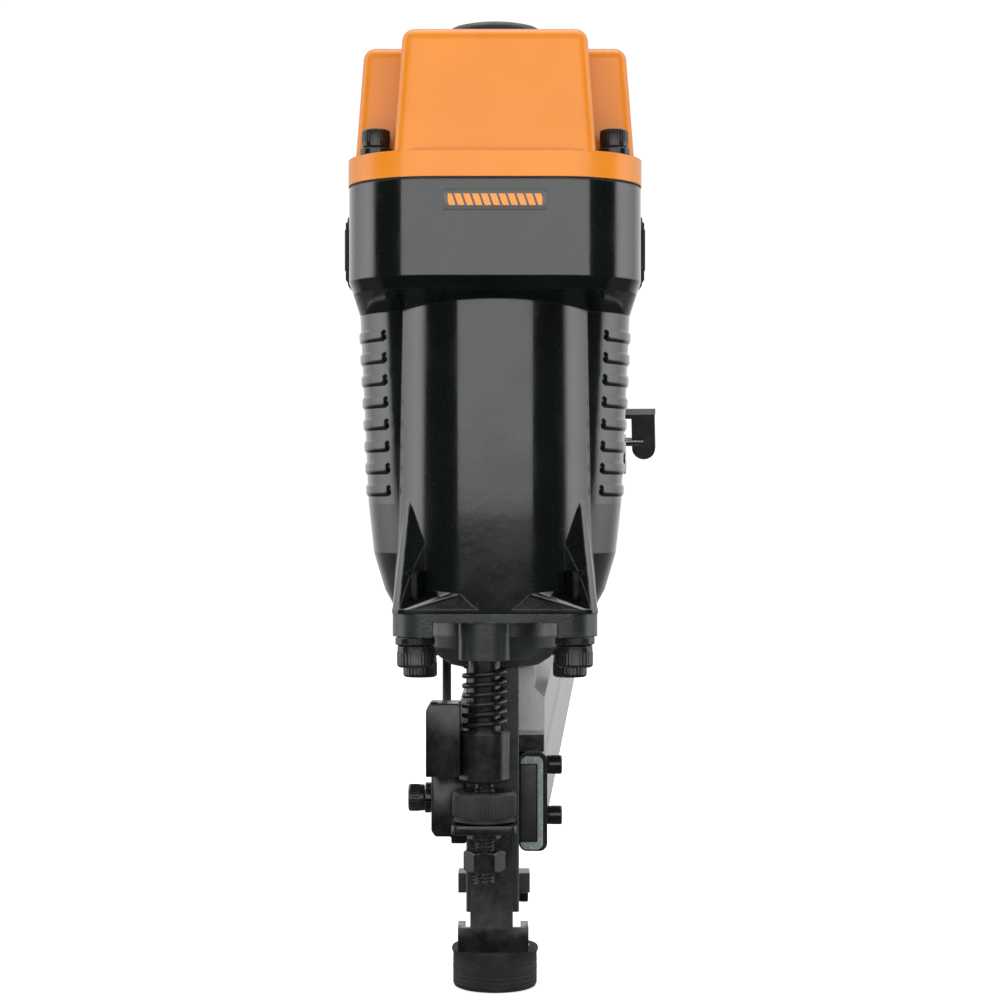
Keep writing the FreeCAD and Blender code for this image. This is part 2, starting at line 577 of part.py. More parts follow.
def make_latch_block():
    body = bar_along_y("latch_body", [
        ("latch_left", "latch_level + 4.6"), ("latch_left + 1.5", "latch_level + 2.5"),
        ("latch_step", "latch_level + 2.5"), ("latch_step", "latch_level"),
        ("column_left", "latch_level"), ("column_left", "latch_top"),
        ("latch_left + 1.5", "latch_top"), ("latch_left", "latch_top - 1.5"),
    ], "latch_front", "latch_back")
    sub_part(body, "nose_latch_block")
    seat = "latch_left - latch_washer_thick"
    washer = rod("latch_washer", "latch_washer_radius", "latch_washer_thick",
                 "latch_left", "latch_screw_y", "latch_screw_level", "-x")
    head = rod("latch_head", "cap_screw_head_radius", "latch_head_tall",
               seat, "latch_screw_y", "latch_screw_level", "-x")
    socket = hexagon("latch_socket", "latch_socket_corner", "latch_head_tall * 0.6",
                     f"{seat} - latch_head_tall", "latch_screw_y", "latch_screw_level", "x")
    sub_part(washer, "latch_washer")
    sub_part(cut("latch_screw_cut", head, [socket]), "latch_screw")
    screw = cap_screw("ear_screw_body", "small_screw_radius", "side_screw_radius", "3.4", "2",
                      "12.3", "side_screw_y", "side_screw_level", "-x")
    tool = rod("ear_screw_trim", "10", "5", "column_right", "side_screw_y", "side_screw_level",
               "-x")
    sub_part(cut("ear_screw_cut", screw, [tool]), "nose_side_screw")


# ---------------------------------------------------------------- housing

def loft_up(body, name, sections):
    """A ruled loft through rounded rectangles: wide, deep, corner, centre and level of each."""
    sketches = []
    for number, (wide, deep, corner, centre, level) in enumerate(sections):
        sketch = sketch_on(body, "XY_Plane", f"{name}_{number}", level)
        draw_rounded_rectangle(sketch, wide, deep, corner, centre)
        sketches.append(sketch)
    loft = body.newObject("PartDesign::AdditiveLoft", name)
    loft.Profile = sketches[0]
    loft.Sections = sketches[1:]
    loft.Ruled = True


def soften(body, feature, wanted, radius):
    """Round the edges of a feature that the test picks out."""
    doc.recompute()
    names = [f"Edge{n}" for n, edge in enumerate(feature.Shape.Edges, start=1) if wanted(edge)]
    blend = body.newObject("PartDesign::Fillet", feature.Name + "_blend")
    blend.Base = (feature, names)
    bind(blend, {"Radius": radius})
    return blend


def make_housing():
    body = new_body("housing_body")
    loft_up(body, "housing_shell", [
        ("base_wide", "base_deep", "base_corner", "base_centre", "flange_top"),
        ("knee_wide", "knee_deep", "knee_corner", "wing_centre", "knee_level"),
        ("waist_wide", "waist_deep", "waist_corner", "wing_centre", "waist_level"),
        ("hip_wide", "hip_deep", "hip_corner", "wing_centre", "hip_level"),
        ("shoulder_wide", "shoulder_deep", "shoulder_corner", "wing_centre", "shoulder_level"),
        ("lip_wide", "lip_wide", "head_corner", "head_centre", "head_level"),
        ("head_wide", "head_wide", "head_corner", "head_centre", "lip_top"),
        ("head_wide", "head_wide", "head_corner", "head_centre", "head_top"),
    ])
    loft_up(body, "housing_foot", [
        ("foot_wide", "foot_wide", "foot_corner", "head_centre", "flange_top"),
        ("foot_wide", "foot_wide", "foot_corner", "head_centre", "foot_step_level"),
        ("foot_neck_wide", "foot_neck_wide", "foot_neck_corner", "head_centre",
         "foot_neck_level"),
    ])
    round_part = sketch_on(body, "XY_Plane", "column_outline", "flange_top")
    draw_circle(round_part, "column_radius")
    padded(body, round_part, "round_column", "head_level + 1 - flange_top")

    root = []
    for name, wide, tall, corner, level in [
        ("root_front", "root_wide", "root_tall", "root_corner", "handle_front - 6"),
        ("root_back", "handle_wide", "handle_tall", "handle_corner", "root_back"),
    ]:
        sketch = sketch_on(body, "XZ_Plane", name, f"-({level})")
        draw_rounded_rectangle(sketch, wide, tall, corner, "handle_centre")
        root.append(sketch)
    blend = body.newObject("PartDesign::AdditiveLoft", "handle_root")
    blend.Profile = root[0]
    blend.Sections = root[1:]
    handle = sketch_on(body, "XZ_Plane", "handle_outline", "-handle_front")
    draw_rounded_rectangle(handle, "handle_wide", "handle_tall", "handle_corner", "handle_centre")
    padded(body, handle, "handle_bar", "handle_back - handle_front", backwards=True)

    lugs = sketch_on(body, "YZ_Plane", "lug_outline", "-trigger_lug_gap - trigger_lug_thick")
    draw_outline(lugs, [("40", "222"), ("40", "205"), ("pivot_y - 5", "pivot_z - 5"),
                        ("pivot_y + 5", "pivot_z - 5"), ("pivot_y + 9", "222")])
    padded(body, lugs, "trigger_lugs", "2 * (trigger_lug_gap + trigger_lug_thick)")

    room = sketch_on(body, "XZ_Plane", "chamber_outline")
    draw_outline(room, [
        ("0", "flange_top - 1"), ("seat_bore_radius", "flange_top - 1"),
        ("seat_bore_radius", "seat_bore_top"), ("chamber_radius", "seat_bore_top + 5"),
        ("chamber_radius", "head_level - 3"), ("head_chamber_radius", "head_level + 7"),
        ("head_chamber_radius", "head_top + 1"), ("0", "head_top + 1"),
    ])
    chamber = body.newObject("PartDesign::Groove", "housing_chamber")
    chamber.Profile = room
    chamber.ReferenceAxis = (room, ["V_Axis"])
    chamber.Angle = 360

    tools = [
        block("trigger_gap", ("-trigger_lug_gap", "trigger_lug_gap"), ("49", "90"),
              ("195", "handle_centre - handle_tall / 2")),
        rod("pivot_hole", "pivot_radius", "60", "-30", "pivot_y", "pivot_z", "x"),
        rod("valve_hole", "valve_body_radius", "40", "0", "valve_stem_y",
            "handle_centre - handle_tall / 2 - 10"),
        handle_room(),
    ]
    for number, (x, y) in enumerate(corner_places("bolt_x", "bolt_y")):
        tools.append(rod(f"housing_bolt_hole_{number}", "bolt_radius", "bolt_into_housing + 3",
                         x, y, "flange_top - 2"))
    for number, (x, y) in enumerate(corner_places("cap_screw_x", "cap_screw_y")):
        tools.append(rod(f"housing_cap_hole_{number}", "cap_screw_radius", "cap_screw_depth + 5",
                         x, y, "head_top - cap_screw_depth"))
    blank = fuse("housing_blank", [body, corner_fins()])
    sub_part(cut("housing", blank, tools), "main_housing")


def corner_fins():
    """Four fins from the column out to the corners of the flange, narrowing upwards."""
    envelope = new_body("fin_envelope")
    loft_up(envelope, "fin_taper", [
        ("foot_wide", "foot_wide", "foot_corner", "head_centre", "flange_top"),
        ("fin_top_wide", "fin_top_deep", "fin_top_corner", "head_centre", "fin_top_level"),
    ])
    bars = []
    for side in (-1, 1):
        slab = block(f"fin_slab_{side + 1}", ("-60", "60"), ("-fin_thick / 2", "fin_thick / 2"),
                     ("flange_top", "fin_top_level"))
        bar = group(f"fin_bar_{side + 1}", [slab])
        place(bar, turn=Rotation(V(0, 0, 1), side * SIZES["fin_turn"]))
        bars.append(bar)
    middle = rod("fin_middle", "column_radius - 2", "80", z="flange_top - 10")
    return cut("corner_fins", common("fin_cross", [envelope, fuse("fin_bars", bars)]), [middle])


def handle_room():
    """The air reservoir inside the handle, opening into the chamber round the cylinder."""
    half_x = "handle_wide / 2 - handle_wall"
    half_z = "handle_tall / 2 - handle_wall"
    room = block("handle_room_block", (f"-({half_x})", half_x), ("25", "handle_back + 5"),
                 (f"handle_centre - ({half_z})", f"handle_centre + {half_z}"))
    return rounded("handle_room", room, runs_along("y"), 9.5)


def rounded_bar(name, wide, tall, corner, front, length, centre="handle_centre"):
    """A bar along Y with a rounded rectangular section."""
    body = new_body(name)
    sketch = sketch_on(body, "XZ_Plane", name + "_outline", f"-({front})")
    draw_rounded_rectangle(sketch, wide, tall, corner, centre)
    padded(body, sketch, name + "_bar", length, backwards=True)
    return body


def make_handle_fittings():
    half_x = "handle_wide / 2 + grip_thick"
    half_z = "handle_tall / 2 + grip_thick"
    outer = block("grip_block", (f"-({half_x})", half_x), ("grip_front", "grip_back"),
                  (f"handle_centre - ({half_z})", f"handle_centre + {half_z}"))
    sleeve = rounded("grip_round", outer, runs_along("y"), 16.0)
    core = rounded_bar("grip_core", "handle_wide", "handle_tall", "handle_corner",
                       "grip_front - 2", "grip_back - grip_front + 4")
    sub_part(cut("grip", sleeve, [core]), "handle_grip")

    cover = rounded_bar("inlet_body", "inlet_wide", "inlet_tall", "inlet_corner",
                        "handle_back", "inlet_long")
    boss = rod("inlet_boss", "inlet_boss_radius", "inlet_boss_long + 1", "0",
               "handle_back + inlet_long - 1", "handle_centre", "y")
    bore = rod("inlet_bore", "inlet_thread_radius", "60", "0", "handle_back - 5",
               "handle_centre", "y")
    screws, holes = [], []
    for number, (x, z) in enumerate(corner_places("inlet_screw_x", "inlet_screw_z")):
        height = f"handle_centre + {z}"
        back = "handle_back + inlet_long"
        screws.append(inlet_screw(number, x, height, back))
        holes.append(rod(f"inlet_screw_hole_{number}", "small_head_radius", "small_head_tall + 1",
                         x, f"{back} - small_head_tall", height, "y"))
    sub_part(cut("inlet", fuse("inlet_blank", [cover, boss]), [bore] + holes), "air_inlet_cap")
    sub_part(group("inlet_screw_group", screws), "inlet_cap_screws")
    make_air_plug()


def inlet_screw(number, x, z, back):
    head = rod(f"inlet_screw_head_{number}", "small_head_radius", "small_head_tall",
               x, f"{back} - small_head_tall", z, "y")
    socket = hexagon(f"inlet_screw_socket_{number}", "1.9", "3", x, f"{back} - 2", z, "y")
    return cut(f"inlet_screw_{number}", head, [socket])


def make_air_plug():
    start = "handle_back + inlet_long + inlet_boss_long"
    lengths = [("inlet_thread_radius", "11"), ("plug_neck_radius", "plug_neck_long"),
               ("plug_collar_radius", "plug_collar_long"), ("plug_tip_radius", "plug_tip_long")]
    thread = rod("plug_thread", "inlet_thread_radius", "11", "0", f"{start} - 11",
                 "handle_centre", "y")
    flats = hexagon("plug_hex", "plug_hex_corner", "plug_hex_long", "0", start,
                    "handle_centre", "y")
    pieces = [thread, flats]
    reach = f"{start} + plug_hex_long"
    for number, (radius, length) in enumerate(lengths[1:]):
        pieces.append(rod(f"plug_step_{number}", radius, length, "0", reach, "handle_centre", "y"))
        reach = f"{reach} + {length}"
    bore = rod("plug_bore", "plug_bore_radius", "80", "0", f"{start} - 20", "handle_centre", "y")
    sub_part(cut("plug", fuse("plug_blank", pieces), [bore]), "air_plug")


# ---------------------------------------------------------------- cap and head

def make_cap():
    body = new_body("cap_flange_body")
    flange = sketch_on(body, "XY_Plane", "cap_flange_outline", "head_top + gasket_thick")
    draw_rounded_rectangle(flange, "cap_flange_wide", "cap_flange_wide", "head_corner")
    padded(body, flange, "cap_flange", "cap_flange_top - head_top - gasket_thick")
    panel = tapered_block("cap_panel", "cap_panel_wide / 2", "cap_front",
                          "cap_panel_top - cap_flange_top", "cap_round")
    sides = tapered_block("cap_sides", "cap_side", "cap_side_deep / 2",
                          "cap_side_top - cap_flange_top", "cap_round")
    core = tapered_block("cap_core", "cap_core_half", "cap_core_half",
                         "cap_side_top - cap_flange_top", "cap_round")
    room = turned("cap_room", [
        ("0", "head_top - 2"), ("cap_valve_radius", "head_top - 2"),
        ("cap_valve_radius", "cap_valve_top"), ("cap_spring_radius", "cap_valve_top + 4"),
        ("cap_spring_radius", "cap_inside_top - 6"), ("cap_spring_radius - 6", "cap_inside_top"),
        ("0", "cap_inside_top"),
    ])
    tools = [room, rod("cap_screw_thread", "cap_screw_radius", "30", z="cap_inside_top - 5")]
    for number, (x, y) in enumerate(corner_places("cap_screw_x", "cap_screw_y")):
        tools.append(rod(f"cap_hole_{number}", "cap_screw_radius", "30", x, y, "head_top - 5"))
    sub_part(cut("cap", fuse("cap_blank", [body, panel, sides, core]), tools), "cylinder_cap")


def tapered_block(name, half_x, half_y, tall, corner):
    """A block standing on the cap's flange, narrowing upwards, with rounded edges."""
    body = new_body(name + "_body")
    sketch = sketch_on(body, "XY_Plane", name + "_outline", "cap_flange_top - 0.5")
    draw_outline(sketch, [(f"-({half_x})", f"-({half_y})"), (half_x, f"-({half_y})"),
                          (half_x, half_y), (f"-({half_x})", half_y)])
    feature = padded(body, sketch, name + "_pad", f"{tall} + 0.5", taper="-cap_taper")
    foot = SIZES["cap_flange_top"] + 0.5
    soften(body, feature, lambda edge: edge.BoundBox.ZMax > foot, corner)
    return body


def make_cap_fittings():
    body = new_body("gasket_body")
    outline = sketch_on(body, "XY_Plane", "gasket_outline", "head_top")
    draw_rounded_rectangle(outline, "head_wide", "head_wide", "head_corner")
    padded(body, outline, "gasket_pad", "gasket_thick")
    tools = [rod("gasket_hole", "head_chamber_radius", "20", z="head_top - 5")]
    screws, washers = [], []
    for number, (x, y) in enumerate(corner_places("cap_screw_x", "cap_screw_y")):
        tools.append(rod(f"gasket_screw_hole_{number}", "cap_screw_radius", "20", x, y,
                         "head_top - 5"))
        seat = "cap_flange_top + cap_washer_thick"
        screws.append(cap_screw(f"cap_screw_{number}", "cap_screw_radius",
                                "cap_screw_head_radius", "cap_screw_head_tall",
                                "cap_washer_thick + cap_flange_top - head_top + cap_screw_depth",
                                x, y, f"{seat} + cap_screw_head_tall", "-z"))
        washer = tube(f"cap_washer_{number}", "cap_screw_radius", "cap_washer_radius",
                      "cap_flange_top", seat)
        place(washer, x, y)
        washers.append(washer)
    sub_part(cut("gasket", body, tools), "cap_gasket")
    sub_part(group("cap_screw_group", screws), "cap_screws")
    sub_part(group("cap_washer_group", washers), "cap_spring_washers")

    disc = turned("deflector_disc", [
        ("cap_screw_radius + 0.08", "deflector_level"), ("deflector_radius - 1.5", "deflector_level"),
        ("deflector_radius", "deflector_level + 1.5"), ("deflector_radius", "deflector_top - 1.5"),
        ("deflector_radius - 1.5", "deflector_top"), ("deflector_recess_radius", "deflector_top"),
        ("deflector_recess_radius", "deflector_top - deflector_recess_depth"),
        ("cap_screw_radius + 0.08", "deflector_top - deflector_recess_depth"),
    ])
    slot = block("deflector_slot", ("-9", "9"), ("6", "30"),
                 ("deflector_level - 1", "deflector_level + 3.2"))
    sub_part(cut("deflector", disc, [slot]), "exhaust_deflector")
    screw = turned("deflector_screw_body", [
        ("0", "cap_inside_top - 2"), ("cap_screw_radius", "cap_inside_top - 2"),
        ("cap_screw_radius", "deflector_top - deflector_recess_depth + 0.2"),
        ("cap_screw_head_radius", "deflector_top - deflector_recess_depth + 0.2"),
        ("cap_screw_head_radius", "deflector_top - 0.4"), ("0", "deflector_top - 0.4"),
    ])
    socket = hexagon("deflector_screw_socket", "2.8", "4", z="deflector_top - 2.2")
    sub_part(cut("deflector_screw_cut", screw, [socket]), "deflector_screw")


def make_head_trim():
    pads = []
    for side, name in ((-1, "left"), (1, "right")):
        outer = "head_wide / 2 + pad_proud"
        inner = "head_wide / 2"
        limits = (f"-({outer})", f"-({inner})") if side < 0 else (inner, outer)
        slab = block(f"{name}_pad_slab", limits, ("-pad_half_deep", "pad_half_deep"),
                     ("side_pad_level", "side_pad_top"))
        pads.append(rounded(f"{name}_pad", slab, runs_along("x"), "side_pad_corner"))
    sub_part(group("side_pad_group", pads), "side_pads")
    plate = block("label_block", ("-label_half", "label_half"),
                  ("-head_wide / 2 - label_thick", "-head_wide / 2"),
                  ("label_level", "label_top"))
    sub_part(plate, "label_plate")


# ---------------------------------------------------------------- working parts inside

def make_drive():
    sleeve = turned("cylinder_body", [
        ("cylinder_radius", "cylinder_level"), ("cylinder_outer", "cylinder_level"),
        ("cylinder_outer", "cylinder_top"), ("cylinder_radius", "cylinder_top"),
    ])
    sub_part(sleeve, "cylinder_sleeve")
    bumper = turned("bumper_body", [
        ("bumper_hole_radius", "cylinder_level"), ("bumper_radius", "cylinder_level"),
        ("bumper_radius", "cylinder_level + 6"), ("bumper_radius - 5", "bumper_top"),
        ("bumper_hole_radius", "bumper_top"),
    ])
    sub_part(bumper, "piston_bumper")
    groove = "piston_radius - ring_groove_depth"
    piston = turned("piston_body", [
        ("driver_radius", "piston_level"), ("piston_radius - 2", "piston_level"),
        ("piston_radius", "piston_level + 2"), ("piston_radius", "ring_groove_level"),
        (groove, "ring_groove_level"), (groove, "ring_groove_level + ring_groove_tall"),
        ("piston_radius", "ring_groove_level + ring_groove_tall"),
        ("piston_radius", "piston_top"), ("driver_radius", "piston_top"),
    ])
    sub_part(piston, "drive_piston")
    seal = tube("piston_ring_body", groove, "cylinder_radius - 0.03",
                "ring_groove_level + 0.1", "ring_groove_level + ring_groove_tall - 0.1")
    sub_part(seal, "piston_ring")
    blade = rod("driver_body", "driver_radius", "piston_top - driver_tip", z="driver_tip")
    sub_part(blade, "driver_blade")


def make_head_valve():
    valve = turned("head_valve_body", [
        ("valve_hole_radius", "valve_level"), ("cylinder_outer + 2", "valve_level"),
        ("valve_radius", "valve_level + 7"), ("valve_radius", "valve_top"),
        ("valve_hole_radius", "valve_top"),
    ])
    sub_part(valve, "head_valve")
    spring = coil("head_valve_coil", "valve_spring_radius", "valve_spring_wire",
                  "valve_spring_pitch", "cap_inside_top - valve_top - 12",
                  z="valve_top + valve_spring_wire + 0.3")
    sub_part(spring, "head_valve_spring")
    stop = rod("stop_body", "stop_radius", "cap_inside_top - stop_level", z="stop_level")
    thread = rod("stop_hole", "cap_screw_radius", "10", z="cap_inside_top - 5")
    sub_part(cut("stop", stop, [thread]), "piston_stop")


# ---------------------------------------------------------------- trigger

def make_trigger():
    lever = plate_along_x("trigger_profile", [
        ("56", "204"), ("56", "212"), ("66", "212"), ("70", "206"), ("106", "197"), ("107", "193"),
        ("92", "187"), ("80", "180"), ("72", "170"), ("65", "170"), ("67", "188"), ("66", "196"),
    ], "-trigger_half", "trigger_half")
    hollow = block("trigger_hollow", ("-trigger_inside_half", "trigger_inside_half"),
                   ("50", "102"), ("196", "220"))
    pivot = rod("trigger_pivot_hole", "pivot_radius + 0.06", "40", "-20", "pivot_y", "pivot_z", "x")
    sub_part(cut("trigger_cut", lever, [hollow, pivot]), "trigger")
    trip = block("trip_block", ("-trip_half", "trip_half"), ("67.5", "98"), ("196", "198"))
    sub_part(trip, "trip_lever")
    pin = rod("pin_body", "pivot_radius", "pivot_length", "-pivot_length / 2", "pivot_y",
              "pivot_z", "x")
    sub_part(pin, "trigger_pin")
    stem = rod("stem_body", "stem_radius", "stem_top - stem_tip", "0", "valve_stem_y", "stem_tip")
    sub_part(stem, "trigger_valve_stem")
    body = tube("trigger_valve_tube", "stem_radius + 0.07", "valve_body_radius",
                "valve_body_level", "valve_body_top")
    place(body, "0", "valve_stem_y")
    sub_part(body, "trigger_valve_body")


# ---------------------------------------------------------------- magazine

MAGAZINE_TURN = Rotation(V(0, 0, 1), -SIZES["magazine_slant"]).multiply(
    Rotation(V(1, 0, 0), SIZES["magazine_rise"]))


def on_magazine(item):
    """Turn a piece drawn in the magazine's own frame into its place on the tool."""
    place(item, "magazine_x", "0", "magazine_z", MAGAZINE_TURN)
    return item


def magazine_outline(grow="0"):
    """The section of the magazine's extrusion, grown outwards by a bound amount."""
    half = f"magazine_half + {grow}"
    top_half = f"magazine_top_half + {grow}"
    return [
        (f"-({half})", f"-({grow})"), (half, f"-({grow})"), (half, "magazine_shoulder"),
        (top_half, "magazine_shoulder + 4"), (top_half, f"magazine_top + {grow}"),
        (f"-({top_half})", f"magazine_top + {grow}"), (f"-({top_half})", "magazine_shoulder + 4"),
        (f"-({half})", "magazine_shoulder"),
    ]


def front_trim(name, gap="0"):
    """Everything in front of the magazine's upright front end."""
    return block(name, ("-80", "80"), ("-150", f"magazine_front_face + {gap}"), ("-80", "200"))


def make_magazine():
    shell = new_body("magazine_shell")
    outline = sketch_on(shell, "XZ_Plane", "magazine_outline", "40")
    draw_outline(outline, magazine_outline())
    padded(shell, outline, "magazine_bar", "magazine_long + 40", backwards=True)
    tools = []
    limits_y = ("-60", "magazine_long + 20")
    tools.append(block("nail_slot", ("-slot_half", "slot_half"), limits_y,
                       ("-5", "head_slot_level + 1")))
    tools.append(block("head_slot", ("-head_slot_half", "head_slot_half"), limits_y,
                       ("head_slot_level", "head_slot_top")))
    for side, (near, far) in {"right": ("room_inner", "room_outer"),
                              "left": ("-room_outer", "-room_inner")}.items():
        tools.append(block(f"{side}_room", (near, far), ("room_start", "magazine_long + 20"),
                           ("room_level", "room_top")))
    beads = [rod(f"{side}_bead", "bead_radius", "magazine_long + 40",
                 f"{sign}(magazine_half - bead_sunk)", "-40", "bead_level", "y")
             for side, sign in (("left", "-"), ("right", ""))]
    extrusion = on_magazine(cut("magazine_extrusion", fuse("magazine_blank", [shell] + beads), tools))
    tools = [front_trim("magazine_front_trim"), bowl_shape("bowl_room", "0.3")]
    sub_part(cut("magazine_cut", extrusion, tools), "magazine_body")

    strips = []
    for side, (near, far) in {"left": ("-slot_half", "-slot_half + track_thick"),
                              "right": ("slot_half - track_thick", "slot_half")}.items():
        strips.append(block(f"{side}_strip", (near, far), ("0", "magazine_long"),
                            ("track_level", "head_slot_level")))
    track = on_magazine(group("track_strips", strips))
    sub_part(cut("track_cut", track, [front_trim("track_front_trim", "1")]), "nail_track")

    cover = bar_along_y("rear_cap_body", magazine_outline("rear_cap_wall"),
                        "magazine_long - rear_cap_long", "magazine_long + 3")
    inside = bar_along_y("rear_cap_inside", magazine_outline("0.3"),
                         "magazine_long - rear_cap_long - 5", "magazine_long")
    window = block("rear_cap_window", ("-head_slot_half", "head_slot_half"),
                   ("magazine_long - 20", "magazine_long + 20"), ("-10", "head_slot_top"))
    bead_rooms = [rod(f"{side}_bead_room", "bead_radius + 0.15", "rear_cap_long + 5",
                      f"{sign}(magazine_half - bead_sunk)", "magazine_long - rear_cap_long - 5",
                      "bead_level", "y")
                  for side, sign in (("left", "-"), ("right", ""))]
    sub_part(on_magazine(cut("rear_cap", cover, [inside, window] + bead_rooms)),
             "magazine_rear_cap")


def make_pusher():
    near, far = "pusher_y", "pusher_y + pusher_long"
    web = block("pusher_web", ("-pusher_half", "pusher_half"), (near, far),
                ("-3.4", "pusher_top + 6"))
    head = block("pusher_head", ("-head_slot_half + 0.4", "head_slot_half - 0.4"), (near, far),
                 ("head_slot_level + 0.5", "head_slot_top - 0.5"))
    sub_part(on_magazine(fuse("pusher_body", [web, head])), "nail_pusher")

    arm = block("arm_under", ("-pusher_half - 3", "magazine_half + 4.4"),
                ("lever_y - 5", "lever_y + 5"), ("-6.2", "-3.4"))
    riser = block("arm_riser", ("magazine_half + 1.8", "magazine_half + 4.4"),
                  ("lever_y - 5", "lever_y + 5"), ("-6.2", "stem_level + stem_half"))
    stem = rod("arm_stem", "stem_half", "lever_x - magazine_half - 2", "magazine_half + 2",
               "lever_y", "stem_level", "x")
    sub_part(on_magazine(fuse("arm_body", [arm, riser, stem])), "pusher_arm")

    limits_y = ("lever_y - lever_thick / 2", "lever_y + lever_thick / 2")
    plate = block("lever_plate", ("lever_x - lever_half", "lever_x + lever_half"), limits_y,
                  ("lever_eye_level", "lever_top"))
    eye = rod("lever_eye", "lever_half", "lever_thick", "lever_x", "lever_y - lever_thick / 2",
              "lever_eye_level", "y")
    shelf = block("lever_shelf", ("lever_x - lever_half - 5", "lever_x + lever_half"),
                  ("lever_y - lever_thick / 2", "lever_y + 8"), ("lever_top - 2.4", "lever_top"))
    bore = rod("lever_bore", "stem_half", "lever_x - magazine_half + 8", "magazine_half - 8",
               "lever_y", "stem_level", "x")
    sub_part(on_magazine(cut("lever", fuse("lever_blank", [plate, eye, shelf]), [bore])),
             "pusher_lever")


def make_front_frame():
    limits_y = ("frame_front", "magazine_front_face - 0.1")
    body = block("frame_block", ("column_right", "frame_right"), limits_y,
                 ("frame_level", "frame_top"))
    ridge = block("frame_ridge", ("column_right", "frame_right - 1.2"),
                  ("frame_front + 3", "magazine_front_face - 0.1"), ("frame_top", "93"))
    frame = rounded("frame_round", body, runs_along("y"), 3.0)
    sub_part(fuse("frame_body", [frame, ridge]), "magazine_front_frame")

    limits_y = ("band_front", "frame_front")
    band = block("band_block", ("column_right + 0.5", "band_right"), limits_y,
                 ("band_level", "band_top"))
    opening = block("band_opening", ("column_right", "band_right - band_side"),
                    ("band_front - 2", "frame_front + 2"),
                    ("band_level + band_edge", "band_top - band_edge"))
    sub_part(cut("band", rounded("band_round", band, runs_along("y"), 2.4), [opening]),
             "front_band")
    insert = block("insert_block", ("column_right + 0.5", "band_right - band_side - 0.2"),
                   ("band_front + 0.5", "frame_front"),
                   ("band_level + band_edge + 0.2", "band_top - band_edge - 0.2"))
    sub_part(insert, "front_insert")

    screws = []
    for number, height in enumerate(("62.7", "81.4")):
        head = rod(f"frame_screw_{number}_head", "small_head_radius", "small_head_tall + 1.6",
                   "frame_right", "2", height, "x")
        socket = hexagon(f"frame_screw_{number}_socket", "1.9", "5",
                         "frame_right + small_head_tall", "2", height, "x")
        screws.append(cut(f"frame_screw_{number}", head, [socket]))
    sub_part(group("frame_screw_group", screws), "front_frame_screws")


def make_rear_bracket():
    flat = block("bracket_flat", ("-12", "23"), ("300", "322"), ("213.5", "handle_centre - handle_tall / 2"))
    side = block("bracket_side", ("-magazine_half - 3", "-magazine_half"), ("318", "352"),
                 ("8", "magazine_shoulder - 2"))
    bead_gap = rod("bracket_bead_gap", "bead_radius + 0.1", "80", "-(magazine_half - bead_sunk)",
                   "300", "bead_level", "y")
    clamp = on_magazine(cut("bracket_clamp", side, [bead_gap]))
    sub_part(fuse("bracket", [flat, clamp]), "rear_bracket")
    bolts = [rod(f"bracket_bolt_{number}", "cap_screw_head_radius", "cap_screw_head_tall", x,
                 "311", "213.5", "-z") for number, x in enumerate(("-4", "9"))]
    sub_part(group("bracket_bolt_group", bolts), "rear_bracket_bolts")


for make in (make_nose_pad, make_contact_foot, make_safety_rod, make_depth_wheel,
             make_safety_link, make_nosepiece, make_nose_bolts, make_latch_block, make_housing,
             make_handle_fittings, make_cap, make_cap_fittings, make_head_trim, make_drive,
             make_head_valve, make_trigger, make_magazine, make_pusher, make_front_frame,
             make_rear_bracket):
    make()
doc.recompute()

failed = [item.Name for item in doc.Objects if {"Invalid", "Error"} & set(item.State)]
if failed:
    raise RuntimeError("features that failed: " + ", ".join(failed))
for item in sub_parts:
    if item.Shape.isNull() or not item.Shape.isValid() or not item.Shape.Solids:
        raise RuntimeError("bad solid: " + item.Label)

os.makedirs("parts", exist_ok=True)
for item in sub_parts:
    item.Shape.exportStep(f"parts/{item.Label}.step")
print(len(sub_parts), "sub-parts")
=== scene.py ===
"""Finishes, fine pieces, light and camera for the pneumatic framing nailer.

Metres, +Z up, the drive axis is the Z axis, the handle and the magazine run back to +Y.
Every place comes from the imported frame: a piece stands where the CAD node that it replaces does.
"""

import json
import math

import bmesh
import bpy
from mathutils import Euler, Matrix, Vector
from mathutils.bvhtree import BVHTree


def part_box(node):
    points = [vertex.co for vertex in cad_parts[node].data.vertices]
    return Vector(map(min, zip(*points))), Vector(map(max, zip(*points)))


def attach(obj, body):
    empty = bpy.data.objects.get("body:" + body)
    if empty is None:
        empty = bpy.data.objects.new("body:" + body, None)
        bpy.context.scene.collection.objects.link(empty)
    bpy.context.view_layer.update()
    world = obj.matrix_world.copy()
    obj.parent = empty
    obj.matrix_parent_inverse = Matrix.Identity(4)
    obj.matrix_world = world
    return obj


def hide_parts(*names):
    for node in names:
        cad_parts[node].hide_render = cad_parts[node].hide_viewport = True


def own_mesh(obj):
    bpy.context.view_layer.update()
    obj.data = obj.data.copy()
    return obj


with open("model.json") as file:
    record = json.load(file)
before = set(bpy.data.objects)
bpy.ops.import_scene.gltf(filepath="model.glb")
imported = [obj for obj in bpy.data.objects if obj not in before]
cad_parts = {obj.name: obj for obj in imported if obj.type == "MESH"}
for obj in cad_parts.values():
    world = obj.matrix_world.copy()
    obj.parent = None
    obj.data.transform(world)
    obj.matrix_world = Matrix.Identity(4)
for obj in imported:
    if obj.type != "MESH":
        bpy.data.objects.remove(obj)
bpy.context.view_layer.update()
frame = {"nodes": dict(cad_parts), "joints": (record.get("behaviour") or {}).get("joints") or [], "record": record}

MM = 0.001
TURN = 2 * math.pi
UP = Vector((0, 0, 1))
scene = bpy.context.scene
nodes = frame["nodes"]
body_of = {node: body for body, members in frame["record"]["behaviour"]["bodies"].items()
           for node in members}
slot_of = {row["node"]: row["material_slot"] for row in frame["record"]["subparts"]}
